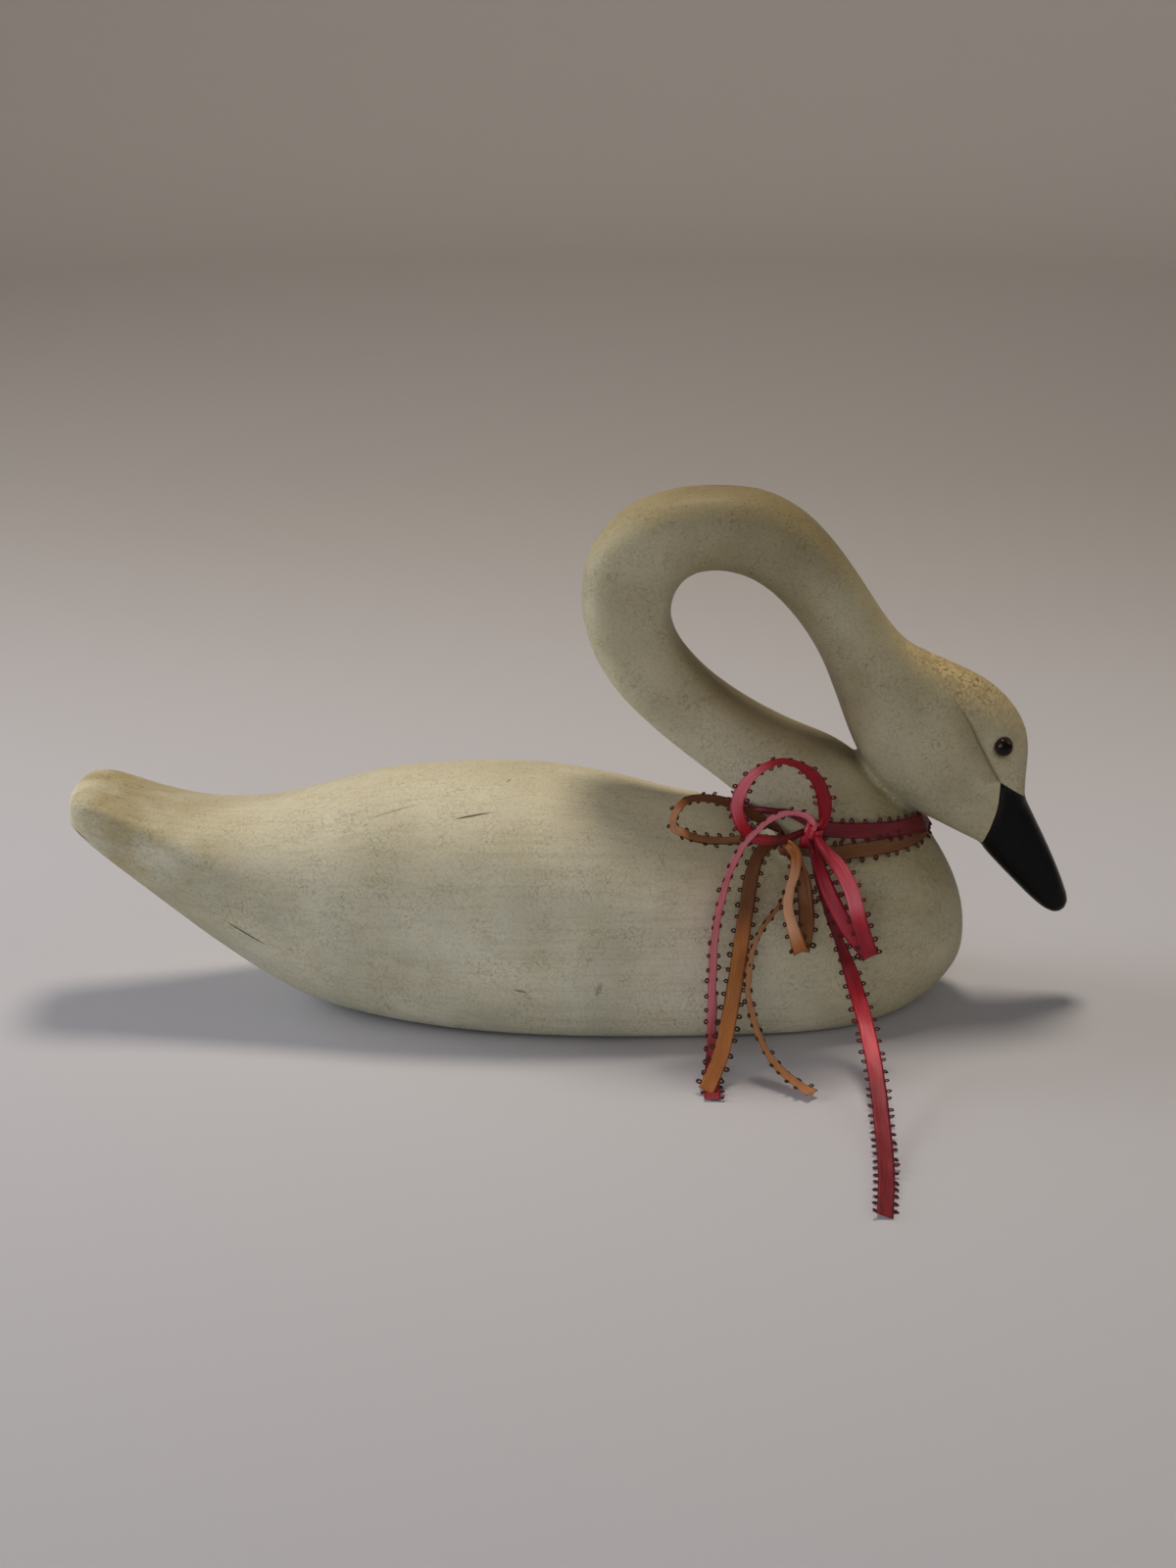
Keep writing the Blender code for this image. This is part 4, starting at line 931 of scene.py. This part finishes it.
def tied(knot, band, strands):
    """The strips of one ribbon: its band, and its loops and loose ends out of the knot."""
    strips = [band]
    for start, end, route, painted_sheen_and_shade in strands:
        end = None if end is None else in_knot(knot, end)
        strips.append(strip_places(in_knot(knot, start), route, painted_sheen_and_shade, end))
    return strips


# %% Tie the gold ribbon, then the red one over it
gold_strips = tied(gold_knot, band_places(0, GOLD_RISE), GOLD_STRANDS)
red_strips = tied(red_knot, band_places(1, RED_RISE), RED_STRANDS)
# The wraps' painted sheen and shade: the gold one dull and shaded, the red one plain satin.
gold_wrap = {"centre": gold_knot, "tilt": 20, "painted_sheen_and_shade": 0.06, "width": 5.4, "tall": 1.0}
red_wrap = {"centre": red_knot + (0.6, 0, -1.6), "tilt": -24, "painted_sheen_and_shade": 0.5, "width": 6.4, "tall": 1.9}
gold_ribbon, gold_length = ribbon(
    "gold_brown_ribbon", "gold_ribbon", gold_strips, gold_wrap)
red_ribbon, red_length = ribbon(
    "crimson_ribbon", "red_ribbon", red_strips, red_wrap)

# %% [markdown]
# Along both edges of each ribbon stand small loops of dark thread, about 5 mm apart. One loop is
# modelled from a torus, cut open where it leaves the ribbon, and copied along the edges, each copy a
# little larger or smaller and tipped a little, as thread is.

# %% Model one loop of thread
PICOT_PITCH = 5.0
PICOT_REACH = 2.02
PICOT_WIDTH = 2.0
THREAD_RADIUS = 0.36
THREAD_CUT = 0.6  # the ring is open this far behind its middle
SEWN_IN = 0.15  # how far a loop reaches into the satin
TIP = 0.45  # the most that a loop leans out of the ribbon's plane, as a share of its reach
FLOOR_AIR = 0.05  # thread that would go below the floor lies on it instead

bpy.ops.object.select_all(action="DESELECT")
bpy.ops.mesh.primitive_torus_add(major_segments=10, minor_segments=4,
                                 major_radius=1.0 - THREAD_RADIUS, minor_radius=THREAD_RADIUS)
bpy.ops.object.mode_set(mode="EDIT")
bpy.ops.mesh.select_all(action="SELECT")
bpy.ops.mesh.bisect(plane_co=(-THREAD_CUT, 0, 0), plane_no=(1, 0, 0), clear_inner=True, use_fill=True)
bpy.ops.object.mode_set(mode="OBJECT")
thread_loop = bpy.context.object
loop_points = np.array([v.co for v in thread_loop.data.vertices])
loop_points[:, 0] = (loop_points[:, 0] + THREAD_CUT) * PICOT_REACH / (1 + THREAD_CUT)
loop_points[:, 1] *= PICOT_WIDTH / 2
loop_faces = [tuple(p.vertices) for p in thread_loop.data.polygons]
bpy.data.objects.remove(thread_loop)
print("one loop of thread has", len(loop_faces), "faces")

# %% Sew loops along the edges


def picots(name, strips, seed):
    """Loops of thread along both edges of the strips, as one piece."""
    luck = np.random.default_rng(seed)
    points = []
    faces = []
    for middles, wides, facings, shares, _ in strips:
        lengths = np.concatenate([[0], np.cumsum(np.linalg.norm(np.diff(middles, axis=0), axis=1))])
        ways = np.gradient(middles, axis=0)
        for side in (-1, 1):
            for place in np.arange(luck.uniform(1, 3), lengths[-1] - 1.0, PICOT_PITCH):
                i = int(np.searchsorted(lengths, place))
                if shares[i] < 0.85:  # drawn in at the knot, where no loop shows
                    continue
                out = wides[i] * side
                way = unit(ways[i])
                tip = luck.uniform(-TIP, TIP)
                lie = unit(out + facings[i] * tip)
                face = np.cross(lie, way)
                size = luck.uniform(0.85, 1.15)
                base = middles[i] + out * (RIBBON_WIDTH / 2 - SEWN_IN)
                base = base + facings[i] * CUP * 0.6 + way * luck.uniform(-0.5, 0.5)
                faces += [tuple(len(points) + v for v in loop) for loop in loop_faces]
                turned = np.outer(loop_points[:, 0], lie) + np.outer(loop_points[:, 1], way)
                points += list(base + size * turned + np.outer(loop_points[:, 2], face))
    points = np.array(points)
    points[:, 2] = np.maximum(points[:, 2], FLOOR_AIR)
    mesh = bpy.data.meshes.new(name)
    mesh.from_pydata([Vector(p) * MM for p in points], [], faces)
    mesh.shade_smooth()
    piece = add_object(name, mesh)
    only_select(piece)
    bpy.ops.object.mode_set(mode="EDIT")
    bpy.ops.mesh.select_all(action="SELECT")
    bpy.ops.mesh.normals_make_consistent(inside=False)
    bpy.ops.object.mode_set(mode="OBJECT")
    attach(piece, "root")
    print(name, "has", len(faces) // len(loop_faces), "loops")
    return piece


red_picots = picots("crimson_picots", red_strips, 11)
gold_picots = picots("gold_brown_picots", gold_strips, 12)

# %% [markdown]
# Satin is woven so that long threads lie on top, and light slides along it in a soft bright band. The
# ribbon's own UV map gives the weave its direction. Where the bright band and the shade fall along each
# strip is painted into its colour as well. A sheen layer adds the pale glow at the edges, and the two
# selvedges are a little darker and raised.

# %% Weave the satin
RIB_PITCH = 0.55  # finer in truth, but this is the finest that shows
WARP_PITCH = 0.35
WARP_RUN = 14.0
SELVEDGE_FROM = 2.45
SELVEDGE_TO = 2.85
TWIST_SIZE = 0.7


def satin(name, tones, sheen):
    """Polyester satin in three tones, from its dull back and painted shade to a painted highlight, with
    a selvedge.
    """
    material, tree, shader = new_material(name)
    place = add_node(tree, "UVMap", out="UV", uv_map="weave")
    across = add_node(tree, "SeparateXYZ", {"Vector": place}, "X")
    across = add_node(tree, "Math", {0: across}, 0, operation="ABSOLUTE")
    warp = add_node(tree, "Mapping", {"Vector": place, "Scale": (1 / WARP_PITCH, 1 / WARP_RUN, 1.0)}, 0)
    warp = add_node(tree, "TexNoise", {"Vector": warp, "Scale": 1.0, "Detail": 3.0}, 0)
    streaks = add_node(tree, "MapRange", {0: warp, 1: 0.35, 2: 0.68, 3: -0.10, 4: 0.10}, 0)
    # A value on the ribbon paints its sheen and shade: low gives painted shade and the dull back, high a
    # painted highlight.
    painted_sheen_and_shade = add_node(tree, "Attribute", out="Fac", attribute_name="painted_sheen_and_shade")
    painted_sheen_and_shade = add_node(tree, "Math", {0: painted_sheen_and_shade, 1: streaks}, 0, operation="ADD")
    low = add_node(tree, "MapRange", {0: painted_sheen_and_shade, 2: 0.5}, 0)
    high = add_node(tree, "MapRange", {0: painted_sheen_and_shade, 1: 0.5}, 0)
    colour = add_node(tree, "Mix", {0: low, 6: linear(tones[0]), 7: linear(tones[1])}, 2, **LAID_OVER)
    colour = add_node(tree, "Mix", {0: high, 6: colour, 7: linear(tones[2])}, 2, **LAID_OVER)
    edge = add_node(tree, "MapRange", {0: across, 1: SELVEDGE_FROM, 2: SELVEDGE_TO, 4: 0.6}, 0)
    colour = add_node(tree, "Mix", {0: edge, 6: colour, 7: linear("#8A5A50")}, 2, **DARKEN)
    tree.links.new(colour, shader.inputs["Base Color"])
    rough = add_node(tree, "MapRange", {0: painted_sheen_and_shade, 3: 0.52, 4: 0.34}, 0)
    tree.links.new(rough, shader.inputs["Roughness"])
    scale = math.tau / RIB_PITCH / 20.0  # a Wave node turns 20 radians in one unit
    ribs = add_node(tree, "TexWave", {"Vector": place, "Scale": scale}, "Fac", bands_direction="Y")
    weave = add_node(tree, "Math", {0: ribs, 1: warp}, 0, operation="ADD")
    bump = add_node(tree, "Bump", {"Height": weave, "Strength": 0.2, "Distance": 0.0001}, "Normal")
    tree.links.new(bump, shader.inputs["Normal"])
    shader.inputs["Specular IOR Level"].default_value = 0.7
    shader.inputs["Specular Tint"].default_value = linear(sheen)
    shader.inputs["Sheen Weight"].default_value = 0.16
    shader.inputs["Sheen Roughness"].default_value = 0.3
    shader.inputs["Sheen Tint"].default_value = linear(sheen)
    return material


def thread(name, dark, light):
    """Twisted polyester thread, darker than the ribbon it edges."""
    material, tree, shader = new_material(name)
    coords = add_node(tree, "TexCoord", out="Object")
    in_mm = add_node(tree, "Mapping", {"Vector": coords, "Scale": (1000, 1000, 1000)}, 0)
    twist = add_node(tree, "TexNoise", {"Vector": in_mm, "Scale": 1 / TWIST_SIZE, "Detail": 2.0}, 0)
    share = add_node(tree, "MapRange", {0: twist, 1: 0.35, 2: 0.65}, 0)
    colour = add_node(tree, "Mix", {0: share, 6: linear(dark), 7: linear(light)}, 2, **LAID_OVER)
    tree.links.new(colour, shader.inputs["Base Color"])
    bump = add_node(tree, "Bump", {"Height": twist, "Strength": 0.4, "Distance": 0.0001}, "Normal")
    tree.links.new(bump, shader.inputs["Normal"])
    shader.inputs["Roughness"].default_value = 0.7
    shader.inputs["Specular IOR Level"].default_value = 0.25
    return material


# The three tones are the dull back with painted shade, plain satin, and a painted highlight.
crimson = satin("crimson_satin", ("#540D12", "#B41E2C", "#F0909C"), "#FFB4C0")
gold_brown = satin("gold_brown_satin", ("#56301B", "#AE6B36", "#E2AC86"), "#FFDCB4")
red_ribbon.data.materials.append(crimson)
gold_ribbon.data.materials.append(gold_brown)
red_picots.data.materials.append(thread("dark_red_thread", "#3C1318", "#702834"))
gold_picots.data.materials.append(thread("dark_brown_thread", "#2E1A0C", "#553519"))
print("satin has ribs", RIB_PITCH, "mm apart")
